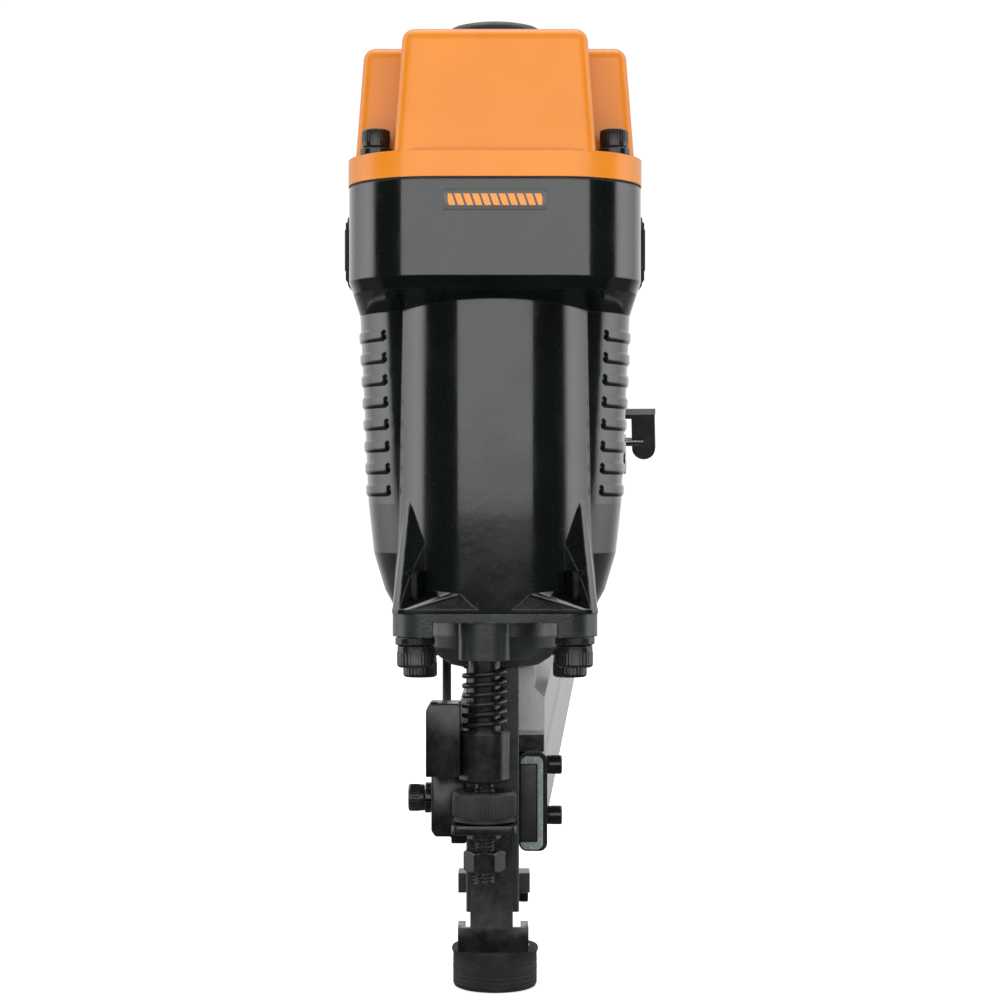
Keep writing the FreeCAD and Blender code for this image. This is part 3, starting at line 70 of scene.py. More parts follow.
joint = {row["name"]: row for row in frame["joints"]}

# The magazine's own frame: its length runs against the way in which the pusher travels.
feed = Vector(joint["pusher_run"]["axis"])
MAGAZINE_RISE = math.asin(-feed.z)
MAGAZINE_SLANT = math.atan2(feed.x, -feed.y)
MAGAZINE_TURN = Euler((MAGAZINE_RISE, 0, MAGAZINE_SLANT))


# ---------------------------------------------------------------- building a finish

class Finish:
    """A material being built: its shader, and short ways to add a pattern to it."""

    def __init__(self, name):
        self.material = bpy.data.materials.new(name)
        self.material.use_nodes = True
        self.tree = self.material.node_tree
        self.shader = self.tree.nodes["Principled BSDF"]
        self.place = self.add("ShaderNodeTexCoord").outputs["Object"]
        self.normal = None

    def add(self, kind, **settings):
        made = self.tree.nodes.new(kind)
        for key, value in settings.items():
            setattr(made, key, value)
        return made

    def join(self, value, socket):
        """Feed a socket from another socket, or set it to a plain value."""
        if isinstance(value, bpy.types.NodeSocket):
            self.tree.links.new(value, socket)
        elif isinstance(value, tuple) and len(value) == 3 and socket.type == "RGBA":
            socket.default_value = (*value, 1)
        else:
            socket.default_value = value

    def turned_place(self, turn, stretch=(1, 1, 1)):
        """Object coordinates turned into a slanted part's own frame, and stretched."""
        mapping = self.add("ShaderNodeMapping", vector_type="TEXTURE")
        self.join(self.place, mapping.inputs["Vector"])
        mapping.inputs["Rotation"].default_value = turn
        mapping.inputs["Scale"].default_value = stretch
        return mapping.outputs["Vector"]

    def mottle(self, size, detail=3.0, place=None):
        """Soft random grey from 0 to 1, in patches about size across."""
        noise = self.add("ShaderNodeTexNoise")
        self.join(place or self.place, noise.inputs["Vector"])
        noise.inputs["Scale"].default_value = 1 / size
        noise.inputs["Detail"].default_value = detail
        return noise.outputs["Fac"]

    def cells(self, size):
        """Distance to the nearest of many scattered points about size apart."""
        pattern = self.add("ShaderNodeTexVoronoi")
        self.join(self.place, pattern.inputs["Vector"])
        pattern.inputs["Scale"].default_value = 1 / size
        return pattern.outputs["Distance"]

    def span(self, source, start, stop, low=0.0, high=1.0):
        """Take the part of source between start and stop to low and high."""
        node = self.add("ShaderNodeMapRange")
        self.join(source, node.inputs["Value"])
        for name, value in (("From Min", start), ("From Max", stop), ("To Min", low),
                            ("To Max", high)):
            node.inputs[name].default_value = value
        return node.outputs["Result"]

    def maths(self, operation, first, second):
        node = self.add("ShaderNodeMath", operation=operation)
        self.join(first, node.inputs[0])
        self.join(second, node.inputs[1])
        return node.outputs["Value"]

    def tint(self, share, first, second):
        """Colour first where share is 0 and second where it is 1."""
        node = self.add("ShaderNodeMix", data_type="RGBA")
        self.join(share, node.inputs[0])
        self.join(first, node.inputs[6])
        self.join(second, node.inputs[7])
        return node.outputs[2]

    def soften_edges(self, radius):
        """Round sharp edges off in the shading, and return where they are."""
        bevel = self.add("ShaderNodeBevel", samples=4)
        bevel.inputs["Radius"].default_value = radius
        self.normal = bevel.outputs["Normal"]
        across = self.add("ShaderNodeVectorMath", operation="DOT_PRODUCT")
        self.join(self.normal, across.inputs[0])
        self.join(self.add("ShaderNodeNewGeometry").outputs["Normal"], across.inputs[1])
        return self.span(across.outputs["Value"], 0.995, 0.93)

    def emboss(self, height, depth, strength=1.0):
        """Raise the surface by height, which is 0 to 1, times depth."""
        bump = self.add("ShaderNodeBump")
        bump.inputs["Strength"].default_value = strength
        bump.inputs["Distance"].default_value = depth
        self.join(height, bump.inputs["Height"])
        if self.normal is not None:
            self.join(self.normal, bump.inputs["Normal"])
        self.normal = bump.outputs["Normal"]

    def done(self, **values):
        """Set the shader's sockets, named with _ for a space, and give the material back."""
        for name, value in values.items():
            self.join(value, self.shader.inputs[name.replace("_", " ")])
        if self.normal is not None:
            self.join(self.normal, self.shader.inputs["Normal"])
        return self.material


# ---------------------------------------------------------------- the finishes

def enamel(name, deep, bright, edge_colour, roughness, coat):
    """Sprayed gloss enamel: orange peel, clouding, and paler paint drawn thin over edges."""
    paint = Finish(name)
    edges = paint.soften_edges(0.7 * MM)
    clouds = paint.span(paint.mottle(38 * MM), 0.3, 0.7)
    wear = paint.maths("MULTIPLY", edges, paint.span(paint.mottle(2.2 * MM), 0.42, 0.7))
    colour = paint.tint(clouds, deep, bright)
    colour = paint.tint(paint.maths("MULTIPLY", wear, 0.6), colour, edge_colour)
    dust = paint.span(paint.mottle(0.45 * MM, 1.0), 0.66, 0.74)
    smears = paint.span(paint.mottle(17 * MM, 5.0), 0.45, 0.75, roughness, roughness + 0.1)
    paint.emboss(paint.mottle(2.6 * MM, 1.5), 0.05 * MM, 0.35)
    paint.emboss(paint.mottle(0.6 * MM, 1.0), 0.01 * MM, 0.3)
    return paint.done(Base_Color=colour, Roughness=paint.maths("MAXIMUM", smears, paint.span(
        dust, 0, 1, roughness, roughness + 0.25)), Coat_Weight=coat, Coat_Roughness=0.05,
        IOR=1.5)


def coated_casting(name):
    """Satin coated casting: sandy skin, cloudy grey green, rubbed bright on its edges."""
    metal = Finish(name)
    edges = metal.soften_edges(0.8 * MM)
    clouds = metal.span(metal.mottle(14 * MM, 5.0), 0.35, 0.7)
    rubbed = metal.maths("MULTIPLY", edges, metal.span(metal.mottle(1.6 * MM), 0.45, 0.65))
    colour = metal.tint(clouds, (0.010, 0.013, 0.012), (0.021, 0.026, 0.024))
    colour = metal.tint(metal.maths("MULTIPLY", rubbed, 0.7), colour, (0.10, 0.12, 0.115))
    metal.emboss(metal.mottle(0.9 * MM, 3.0), 0.12 * MM, 0.55)
    metal.emboss(metal.cells(0.5 * MM), 0.03 * MM, 0.4)
    rough = metal.span(metal.mottle(6 * MM), 0.3, 0.7, 0.22, 0.38)
    return metal.done(Base_Color=colour, Roughness=rough, IOR=1.5, Coat_Weight=0.15,
                      Coat_Roughness=0.3)


def blackened_steel(name):
    """Oil-blackened steel: fine grain, oily patches and grey steel where edges rub."""
    metal = Finish(name)
    edges = metal.soften_edges(0.35 * MM)
    patches = metal.span(metal.mottle(7 * MM, 5.0), 0.35, 0.68)
    rubbed = metal.maths("MULTIPLY", edges, metal.span(metal.mottle(0.9 * MM), 0.42, 0.62))
    colour = metal.tint(patches, (0.0045, 0.0045, 0.005), (0.011, 0.011, 0.0115))
    colour = metal.tint(metal.maths("MULTIPLY", rubbed, 0.75), colour, (0.09, 0.09, 0.09))
    metal.emboss(metal.mottle(0.35 * MM, 2.0), 0.03 * MM, 0.5)
    rough = metal.span(metal.mottle(3 * MM), 0.3, 0.7, 0.16, 0.32)
    return metal.done(Base_Color=colour, Roughness=rough, Metallic=0.0, IOR=1.5)


def moulded_rubber(name):
    """Matt black rubber: pebbled skin with pale rub marks and patches of dust."""
    rubber = Finish(name)
    edges = rubber.soften_edges(0.5 * MM)
    bloom = rubber.span(rubber.mottle(9 * MM, 6.0), 0.45, 0.75)
    colour = rubber.tint(bloom, (0.009, 0.009, 0.009), (0.020, 0.019, 0.0185))
    colour = rubber.tint(rubber.maths("MULTIPLY", edges, 0.5), colour, (0.055, 0.053, 0.051))
    rubber.emboss(rubber.cells(0.7 * MM), 0.06 * MM, 0.6)
    rough = rubber.span(rubber.mottle(5 * MM), 0.3, 0.7, 0.58, 0.78)
    return rubber.done(Base_Color=colour, Roughness=rough, IOR=1.4)


def moulded_plastic(name, dark, light, roughness):
    """Glass-filled black plastic: fine spark texture and a soft sheen."""
    plastic = Finish(name)
    edges = plastic.soften_edges(0.4 * MM)
    colour = plastic.tint(plastic.span(plastic.mottle(11 * MM, 5.0), 0.35, 0.7), dark, light)
    colour = plastic.tint(plastic.maths("MULTIPLY", edges, 0.35), colour, (0.09, 0.09, 0.09))
    plastic.emboss(plastic.cells(0.45 * MM), 0.03 * MM, 0.55)
    rough = plastic.span(plastic.mottle(4 * MM), 0.3, 0.7, roughness, roughness + 0.14)
    return plastic.done(Base_Color=colour, Roughness=rough, IOR=1.5)


def extruded_aluminium(name):
    """Satin extrusion: die lines run the length of the magazine, with small scuffs."""
    metal = Finish(name)
    metal.soften_edges(0.3 * MM)
    lines = metal.turned_place(MAGAZINE_TURN, (1, 60, 1))
    streaks = metal.mottle(0.8 * MM, 3.0, lines)
    scuffs = metal.span(metal.mottle(3.5 * MM, 6.0), 0.60, 0.72)
    colour = metal.tint(streaks, (0.36, 0.36, 0.355), (0.50, 0.495, 0.485))
    colour = metal.tint(metal.maths("MULTIPLY", scuffs, 0.4), colour, (0.22, 0.22, 0.215))
    metal.emboss(streaks, 0.02 * MM, 0.5)
    rough = metal.span(streaks, 0.3, 0.7, 0.28, 0.42)
    return metal.done(Base_Color=colour, Roughness=rough, Metallic=0.5)


def ground_steel(name, dark, light):
    """Turned or ground metal: fine rings and a few dull spots."""
    metal = Finish(name)
    metal.soften_edges(0.25 * MM)
    dull = metal.span(metal.mottle(2.5 * MM, 5.0), 0.5, 0.72)
    colour = metal.tint(dull, light, dark)
    metal.emboss(metal.mottle(0.25 * MM, 2.0), 0.01 * MM, 0.5)
    rough = metal.span(dull, 0, 1, 0.22, 0.42)
    return metal.done(Base_Color=colour, Roughness=rough, Metallic=1.0)


def scuffed_band(name):
    """Grey green coating on the front band, flecked through to pale primer."""
    coat = Finish(name)
    edges = coat.soften_edges(0.4 * MM)
    flecks = coat.span(coat.mottle(0.8 * MM, 4.0), 0.56, 0.62)
    colour = coat.tint(coat.mottle(4 * MM, 4.0), (0.085, 0.115, 0.108), (0.15, 0.19, 0.18))
    chips = coat.maths("MAXIMUM", coat.maths("MULTIPLY", edges, 0.5), flecks)
    colour = coat.tint(coat.maths("MULTIPLY", chips, 0.6), colour, (0.27, 0.31, 0.29))
    coat.emboss(coat.mottle(0.5 * MM, 3.0), 0.05 * MM, 0.5)
    return coat.done(Base_Color=colour, Roughness=0.55)


def striped_film(name):
    """Grey film label with a plain row of slanted orange bars, and no lettering."""
    film = Finish(name)
    low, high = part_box("label_plate")
    middle = (low + high) / 2
    half = (high - low) / 2
    apart = film.add("ShaderNodeSeparateXYZ")
    film.join(film.place, apart.inputs["Vector"])
    across = film.maths("SUBTRACT", apart.outputs["X"], middle.x)
    above = film.maths("SUBTRACT", apart.outputs["Z"], middle.z)
    lean = film.maths("ADD", across, film.maths("MULTIPLY", above, 0.35))
    bar_pitch = 3.1 * MM
    bar = film.maths("LESS_THAN", film.maths("PINGPONG", lean, bar_pitch / 2), 1.12 * MM)
    rows = film.maths("LESS_THAN", film.maths("ABSOLUTE", above, 0.0), half.z - 1.7 * MM)
    inside = film.maths("LESS_THAN", film.maths("ABSOLUTE", across, 0.0), half.x - 1.6 * MM)
    printed = film.maths("MULTIPLY", bar, film.maths("MULTIPLY", rows, inside))
    ink = film.maths("MULTIPLY", printed, film.span(film.mottle(0.5 * MM), 0.2, 0.5, 0.8, 1.0))
    ground = film.tint(film.mottle(3 * MM, 4.0), (0.060, 0.062, 0.058), (0.085, 0.088, 0.082))
    film.emboss(film.mottle(1.5 * MM, 2.0), 0.01 * MM, 0.4)
    return film.done(Base_Color=film.tint(ink, ground, (0.80, 0.25, 0.03)), Roughness=0.3)


finishes = {
    "orange_paint": enamel("orange_paint", (0.62, 0.182, 0.004), (0.69, 0.212, 0.006),
                           (0.86, 0.38, 0.06), 0.30, 0.08),
    "black_paint": enamel("black_paint", (0.0016, 0.0022, 0.0020), (0.0032, 0.0058, 0.0042),
                          (0.03, 0.03, 0.03), 0.13, 0.45),
    "dark_casting": coated_casting("dark_casting"),
    "black_rubber": moulded_rubber("black_rubber"),
    "label_film": striped_film("label_film"),
    "aluminium": extruded_aluminium("aluminium"),
    "bright_steel": ground_steel("bright_steel", (0.32, 0.31, 0.30), (0.56, 0.56, 0.55)),
    "brass": ground_steel("brass", (0.42, 0.28, 0.10), (0.72, 0.52, 0.22)),
    "grey_band": scuffed_band("grey_band"),
    "black_plastic": moulded_plastic("black_plastic", (0.009, 0.009, 0.009),
                                     (0.017, 0.017, 0.0165), 0.40),
    "black_steel": blackened_steel("black_steel"),
}
for name, node in nodes.items():
    node.data.materials.clear()
    node.data.materials.append(finishes[slot_of[name]])


# ---------------------------------------------------------------- putting pieces together

def centre_of(node):
    low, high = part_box(node)
    return (low + high) / 2


def pointing(x, y, z, direction=UP):
    """A place at a point, with the piece's own Z turned to a direction."""
    return Matrix.Translation((x, y, z)) @ direction.to_track_quat("Z", "Y").to_matrix().to_4x4()


def moved(bm, place):
    bmesh.ops.transform(bm, matrix=place, verts=bm.verts)
    return bm


def together(parts):
    """One mesh from several, each freed as it is taken in."""
    whole = bmesh.new()
    for part in parts:
        carrier = bpy.data.meshes.new("carrier")
        part.to_mesh(carrier)
        whole.from_mesh(carrier)
        bpy.data.meshes.remove(carrier)
        part.free()
    return whole


def stand_in(bm, node, name=None, crease=32.0, finish=None, outward=True):
    """Show this mesh in place of a CAD node, on its body and in its finish."""
    name = name or node + "_fine"
    bmesh.ops.remove_doubles(bm, verts=bm.verts, dist=0.002 * MM)
    if outward:
        bmesh.ops.recalc_face_normals(bm, faces=bm.faces)
    mesh = bpy.data.meshes.new(name)
    bm.to_mesh(mesh)
    bm.free()
    mesh.shade_smooth()
    mesh.set_sharp_from_angle(angle=math.radians(crease))
    slot = finish or slot_of[node]
    mesh.materials.append(finishes[slot])
    made = bpy.data.objects.new(name, mesh)
    scene.collection.objects.link(made)
    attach(made, body_of[node])
    return made


def replace(bm, node, **settings):
    made = stand_in(bm, node, **settings)
    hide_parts(node)
    return made


def rounded_copy(node, edge):
    """A CAD node's shape with its sharp edges really rounded."""
    corner, flat = math.radians(28), math.radians(1)
    bm = bmesh.new()
    bm.from_mesh(nodes[node].data)
    bmesh.ops.remove_doubles(bm, verts=bm.verts, dist=0.003 * MM)
    bmesh.ops.dissolve_limit(bm, angle_limit=flat, verts=bm.verts,
                             edges=bm.edges, use_dissolve_boundaries=False)
    sharp = [e for e in bm.edges
             if e.is_manifold and e.calc_face_angle(0) > corner]
    bmesh.ops.bevel(bm, geom=sharp, offset=edge, offset_type="OFFSET", segments=2,
                    profile=0.5, affect="EDGES", clamp_overlap=True, material=-1)
    return replace(bm, node)


def lathe(points, steps=64, sweep=TURN, rise=0.0):
    """Turn a profile of (radius, height) points about the piece's own Z."""
    bm = bmesh.new()
    ring = [bm.verts.new((radius, 0, height)) for radius, height in points]
    edges = [bm.edges.new(pair) for pair in zip(ring, ring[1:])]
    bmesh.ops.spin(bm, geom=ring + edges, cent=(0, 0, 0), axis=UP, dvec=(0, 0, rise / steps),
                   angle=sweep, steps=steps, use_merge=sweep == TURN and rise == 0,
                   use_duplicate=False)
    bmesh.ops.remove_doubles(bm, verts=bm.verts, dist=0.001 * MM)
    return bm


def turned_block(outline, steps=64):
    """A lathe piece whose profile is a closed loop, for rings and sleeves."""
    return lathe(list(outline) + [outline[0]], steps)


def reshape(bm, rule):
    """Move each vertex in or out by a rule of its angle, radius and height."""
    for vertex in bm.verts:
        radius = math.hypot(vertex.co.x, vertex.co.y)
        if radius > 0.01 * MM:
            angle = math.atan2(vertex.co.y, vertex.co.x)
            wanted = rule(angle, radius, vertex.co.z)
            vertex.co.x *= wanted / radius
            vertex.co.y *= wanted / radius
    return bm


def hexagon_radius(angle, half_flats):
    """How far out a hexagon's side is at an angle."""
    sixth = TURN / 6
    return half_flats / math.cos(angle % sixth - sixth / 2)


def knurled(bm, ridges, least_radius, low, high, depth):
    """Cut straight grooves down the outside between two heights."""
    def rule(angle, radius, height):
        groove = round(angle / TURN * 2 * ridges) % 2
        cuts = groove and radius > least_radius and low <= height <= high
        return radius - depth if cuts else radius
    return reshape(bm, rule)


def socket_head(radius, tall, half_flats, socket_deep, ridges=36):
    """A knurled cap-screw head that stands on its own Z = 0 with the socket in its top."""
    lip = 0.09 * radius
    mouth = half_flats * 1.22
    outline = [
        (0, tall - socket_deep), (mouth, tall - socket_deep + 0.01 * MM), (mouth, tall - lip),
        (mouth + lip, tall), (radius - lip * 1.6, tall), (radius - lip * 0.4, tall - lip * 0.6),
        (radius, tall - lip * 1.8), (radius, tall - lip * 2.4), (radius, tall * 0.34),
        (radius - lip * 0.3, tall * 0.26), (radius - lip * 0.3, tall * 0.08),
        (radius - lip * 0.9, 0), (0, 0),
    ]
    bm = lathe(outline, 2 * ridges)
    knurled(bm, ridges, radius - lip * 0.2, tall * 0.3, tall - lip * 1.9, 0.035 * radius)
    return reshape(bm, lambda angle, out, height: hexagon_radius(angle, half_flats)
                   if height > tall - socket_deep - 0.1 * MM and abs(out - mouth) < 0.02 * MM
                   else out)


def split_washer(inner, outer, thick):
    """A spring washer: a flat ring cut through and sprung a little apart."""
    gap = math.radians(7)
    spring = 0.12 * thick
    edge = 0.1 * thick
    outline = [(inner, edge), (inner + edge, 0), (outer - edge, 0), (outer, edge),
               (outer, thick - spring - edge), (outer - edge, thick - spring),
               (inner + edge, thick - spring), (inner, thick - spring - edge), (inner, edge)]
    bm = lathe(outline, 60, TURN - gap, spring)
    bmesh.ops.holes_fill(bm, edges=[e for e in bm.edges if e.is_boundary], sides=0)
    return bm


def helix(wire, radius, pitch, turns):
    """A round wire wound about the piece's own Z, with closed ends."""
    sides, steps = 10, 30
    bm = bmesh.new()
    ring = bmesh.ops.create_circle(bm, segments=sides, radius=wire)["verts"]
    stand = Matrix.Translation((radius, 0, 0)) @ Matrix.Rotation(TURN / 4, 4, "X")
    bmesh.ops.transform(bm, matrix=stand, verts=ring)
    bmesh.ops.spin(bm, geom=ring + list(bm.edges), cent=(0, 0, 0), axis=UP,
                   dvec=(0, 0, pitch / steps), angle=TURN * turns,
                   steps=round(steps * turns), use_merge=False, use_duplicate=False)
    bmesh.ops.holes_fill(bm, edges=[e for e in bm.edges if e.is_boundary], sides=0)
    return bm


skins = {}


def lying_on(node, x, y, z, towards):
    """Where a ray from outside meets a CAD node, and which way the surface faces there."""
    tree = skins.setdefault(node, BVHTree.FromObject(nodes[node],
                                                     bpy.context.evaluated_depsgraph_get()))
    return tree.ray_cast(Vector((x, y, z)), Vector(towards).normalized())[:2]


# ---------------------------------------------------------------- contact foot and depth wheel

def make_nose_pad():
    low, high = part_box("nose_pad")
    outer = (high.x - low.x) / 2
    tall = high.z - low.z
    seat, hole, seat_level = 12.9 * MM, 8.0 * MM, 7.0 * MM
    lip = 1.5 * MM
    outline = [(hole, 0), (outer - 2.0 * MM, 0), (outer - 1.0 * MM, 0.5 * MM),
               (outer - 0.6 * MM, 1.3 * MM)]
    groove_levels = (2.6 * MM, 4.3 * MM, 6.0 * MM, 9.2 * MM)
    for level in groove_levels:
        outline += [(outer - 0.5 * MM, level - 0.45 * MM), (outer - 1.0 * MM, level - 0.1 * MM),
                    (outer - 1.0 * MM, level + 0.1 * MM), (outer - 0.5 * MM, level + 0.4 * MM)]
    outline += [(outer - 0.6 * MM, tall - 2.6 * MM), (outer - 0.1 * MM, tall - lip),
                (outer, tall - 0.7 * MM), (outer - 0.4 * MM, tall - 0.1 * MM),
                (outer - 1.0 * MM, tall), (seat, tall), (seat, seat_level), (hole, seat_level)]
    replace(moved(turned_block(outline, 96), pointing(0, 0, low.z)), "nose_pad")


def make_depth_wheel():
    low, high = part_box("depth_wheel")
    middle = centre_of("depth_wheel")
    radius = (high.x - low.x) / 2
    tall = high.z - low.z
    bore = 4.1 * MM
    outline = [
        (bore, 0), (radius - 1.1 * MM, 0), (radius - 0.3 * MM, 0.5 * MM),
        (radius - 0.3 * MM, 1.1 * MM), (radius - 1.0 * MM, 1.4 * MM),
        (radius - 1.0 * MM, 1.8 * MM), (radius - 0.1 * MM, 2.2 * MM), (radius, 2.8 * MM),
        (radius, tall - 1.6 * MM), (radius - 0.3 * MM, tall - 0.7 * MM),
        (radius - 1.1 * MM, tall), (bore + 3.2 * MM, tall), (bore + 2.8 * MM, tall - 0.6 * MM),
        (bore, tall - 0.6 * MM),
    ]
    ridges = 64
    wheel = knurled(turned_block(outline, 2 * ridges), ridges, radius - 0.2 * MM, 2.0 * MM,
                    tall - 1.0 * MM, 0.42 * MM)
    replace(moved(wheel, pointing(middle.x, middle.y, low.z)), "depth_wheel", crease=20)


def make_lock_nut_and_washer():
    low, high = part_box("lock_nut")
    middle = centre_of("lock_nut")
    tall = high.z - low.z
    half_flats = 6.5 * MM
    corner = half_flats / math.cos(TURN / 12)
    bore = 4.0 * MM
    levels = [0, 0.25, 0.55, 0.95, 1.4]
    heights = [d * MM for d in levels] + [tall - d * MM for d in reversed(levels)]
    nut = lathe([(bore, heights[0])] + [(corner, height) for height in heights]
                + [(bore, heights[-1]), (bore, heights[0])], 96)

    def shape(angle, radius, height):
        if radius < bore + 0.1 * MM:
            return radius
        from_face = min(height, tall - height)
        cone = half_flats * 0.97 + from_face * 1.7
        return min(hexagon_radius(angle, half_flats), cone)

    replace(moved(reshape(nut, shape), pointing(middle.x, middle.y, low.z)), "lock_nut",
            crease=24)
    low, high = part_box("lock_washer")
    ring = split_washer(4.1 * MM, (high.x - low.x) / 2, high.z - low.z)
    turn = Matrix.Rotation(math.radians(-115), 4, "Z")
    replace(moved(ring, pointing(middle.x, middle.y, low.z) @ turn), "lock_washer")


def make_safety_rod():
    low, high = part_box("safety_rod")
    wheel_low, wheel_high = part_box("depth_wheel")
    middle = centre_of("depth_wheel")
    sleeve, shaft, core = 9.15 * MM, 5.75 * MM, 3.45 * MM
    crest = 4.0 * MM
    sleeve_low = wheel_high.z + 3.2 * MM - low.z
    sleeve_high = sleeve_low + 18.6 * MM
    top = high.z - low.z
    chamfer = 1.2 * MM
    rod = lathe([
        (0, 0), (core - 0.8 * MM, 0), (core, 0.8 * MM), (core, sleeve_low - 0.6 * MM),
        (crest + 0.6 * MM, sleeve_low - 0.6 * MM), (crest + 0.6 * MM, sleeve_low),
        (sleeve - chamfer, sleeve_low), (sleeve, sleeve_low + chamfer),
        (sleeve, sleeve_high - chamfer), (sleeve - chamfer, sleeve_high),
        (shaft, sleeve_high), (shaft, top - 0.5 * MM), (shaft - 0.5 * MM, top), (0, top),
    ], 72)
    pitch = 1.25 * MM
    turns = int((sleeve_low - 1.5 * MM) / pitch)
    thread = lathe([(core - 0.1 * MM, 0.0), (crest - 0.02 * MM, 0.42 * MM),
                    (crest - 0.02 * MM, 0.58 * MM), (core - 0.1 * MM, 1.0 * MM)],
                   turns * 32, TURN * turns, pitch * turns)
    bmesh.ops.holes_fill(thread, edges=[e for e in thread.edges if e.is_boundary], sides=0)
    moved(thread, Matrix.Translation((0, 0, 0.3 * MM)))
    whole = moved(together([rod, thread]), pointing(middle.x, middle.y, low.z))
    replace(whole, "safety_rod", crease=30)


def make_safety_spring():
    low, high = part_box("safety_spring")
    middle = centre_of("depth_wheel")
    wire = 1.0 * MM
    radius = (high.x - low.x) / 2 - wire
    pitch = 3.55 * MM
    turns = (high.z - low.z - 2.2 * wire) / pitch
    wound = moved(helix(wire, radius, pitch, turns),
                  pointing(middle.x, middle.y, low.z + 1.1 * wire))
    spring = replace(wound, "safety_spring", crease=60)
    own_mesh(spring)


# ---------------------------------------------------------------- screws and washers

def screw_heads(node, places, radius, tall, half_flats, direction, ridges=36):
    """Knurled heads for every screw of a node, at the given seats."""
    heads = [moved(socket_head(radius, tall, half_flats, tall * 0.55, ridges),
                   pointing(*place, direction)) for place in places]
    shank = [moved(lathe([(0, -2 * MM), (radius * 0.55, -2 * MM), (radius * 0.55, 0.2 * MM),
                          (0, 0.2 * MM)], 32), pointing(*place, direction)) for place in places]
    return replace(together(heads + shank), node, crease=25)


def make_screws():
    low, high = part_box("cap_screws")
    radius, tall = 5.0 * MM, 6.5 * MM
    corners = [(x, y) for x in (low.x + radius, high.x - radius)
               for y in (low.y + radius, high.y - radius)]
    screw_heads("cap_screws", [(x, y, high.z - tall) for x, y in corners], radius, tall,
                2.5 * MM, UP)
    washer_low, washer_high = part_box("cap_spring_washers")
    washers = [moved(split_washer(3.1 * MM, 5.6 * MM, washer_high.z - washer_low.z),
                     pointing(x, y, washer_low.z) @ Matrix.Rotation(angle, 4, "Z"))
               for angle, (x, y) in zip((-1.2, 0.9, -2.3, 2.0), corners)]
    replace(together(washers), "cap_spring_washers")

    low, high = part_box("nose_bolts")
    radius, tall, washer = 6.5 * MM, 8.0 * MM, 3.0 * MM
    front_seat, rear_seat = 130.6 * MM, 123.0 * MM
    places = [(x, y, seat) for x in (low.x + radius, high.x - radius)
              for y, seat in ((low.y + radius, front_seat), (high.y - radius, rear_seat))]
    screw_heads("nose_bolts", [(x, y, seat - washer) for x, y, seat in places], radius, tall,
                3.0 * MM, -UP)
    washers = [moved(split_washer(4.1 * MM, 7.1 * MM, washer),
                     pointing(x, y, seat - washer) @ Matrix.Rotation(turn, 4, "Z"))
               for turn, (x, y, seat) in zip((-1.3, 0.5, -2.2, 2.4), places)]
    replace(together(washers), "nose_spring_washers")

    sideways = Vector((1, 0, 0))
    low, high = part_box("latch_screw")
    middle = centre_of("latch_screw")
    screw_heads("latch_screw", [(high.x, middle.y, middle.z)], 5.0 * MM, high.x - low.x,
                2.5 * MM, -sideways)
    washer_low, washer_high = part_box("latch_washer")
    ring = split_washer(3.1 * MM, (washer_high.z - washer_low.z) / 2,
                        washer_high.x - washer_low.x)
    replace(moved(ring, pointing(washer_high.x, middle.y, middle.z, -sideways)),
            "latch_washer")

    low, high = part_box("front_frame_screws")
    radius = 3.5 * MM
    heights = (low.z + radius, high.z - radius)
    screw_heads("front_frame_screws", [(low.x, centre_of("front_frame_screws").y, height)
                                       for height in heights],
                radius, high.x - low.x, 1.75 * MM, sideways, 28)
    low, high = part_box("nose_side_screw")
    middle = centre_of("nose_side_screw")
    screw_heads("nose_side_screw", [(low.x, middle.y, middle.z)], (high.z - low.z) / 2,
                high.x - low.x, 1.7 * MM, sideways, 26)

    low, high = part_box("inlet_cap_screws")
    radius = 3.5 * MM
    places = [(x, high.y - 4.0 * MM, z) for x in (low.x + radius, high.x - radius)
              for z in (low.z + radius, high.z - radius)]
    screw_heads("inlet_cap_screws", places, radius, 4.0 * MM, 1.75 * MM, Vector((0, 1, 0)), 28)


# ---------------------------------------------------------------- head and housing details

def make_side_pads():
    low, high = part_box("side_pads")
    thick = 2.6 * MM
    tall, wide = high.z - low.z, high.y - low.y
    parts = []
    for side in (-1, 1):
        inner = side * (high.x - thick)
        pad = bmesh.new()
        bmesh.ops.create_cube(pad, size=1.0)
        bmesh.ops.scale(pad, vec=(thick * 0.62, wide, tall), verts=pad.verts)
        bmesh.ops.translate(pad, vec=(inner + side * thick * 0.31, centre_of("side_pads").y,
                                      (low.z + high.z) / 2), verts=pad.verts)
        upright = [e for e in pad.edges if abs(e.verts[0].co.x - e.verts[1].co.x) > 0.5 * MM]
        bmesh.ops.bevel(pad, geom=upright, offset=9 * MM, offset_type="OFFSET", segments=8,
                        profile=0.5, affect="EDGES", clamp_overlap=True, material=-1)
        parts.append(pad)
        ribs = 6
        for number in range(ribs):
            rib_y = low.y + wide * (number + 0.9) / (ribs + 0.8)
            rib = bmesh.new()
            bmesh.ops.create_cube(rib, size=1.0)
            reach = tall * (0.62 if number in (0, ribs - 1) else 0.86)
            bmesh.ops.scale(rib, vec=(thick * 0.6, wide / ribs * 0.55, reach), verts=rib.verts)
            bmesh.ops.translate(rib, vec=(inner + side * thick * 0.7, rib_y,
                                          (low.z + high.z) / 2), verts=rib.verts)
            bmesh.ops.bevel(rib, geom=rib.edges[:], offset=0.7 * MM, offset_type="OFFSET",
                            segments=3, profile=0.5, affect="EDGES", clamp_overlap=True,
                            material=-1)
            parts.append(rib)
    replace(together(parts), "side_pads", crease=40)


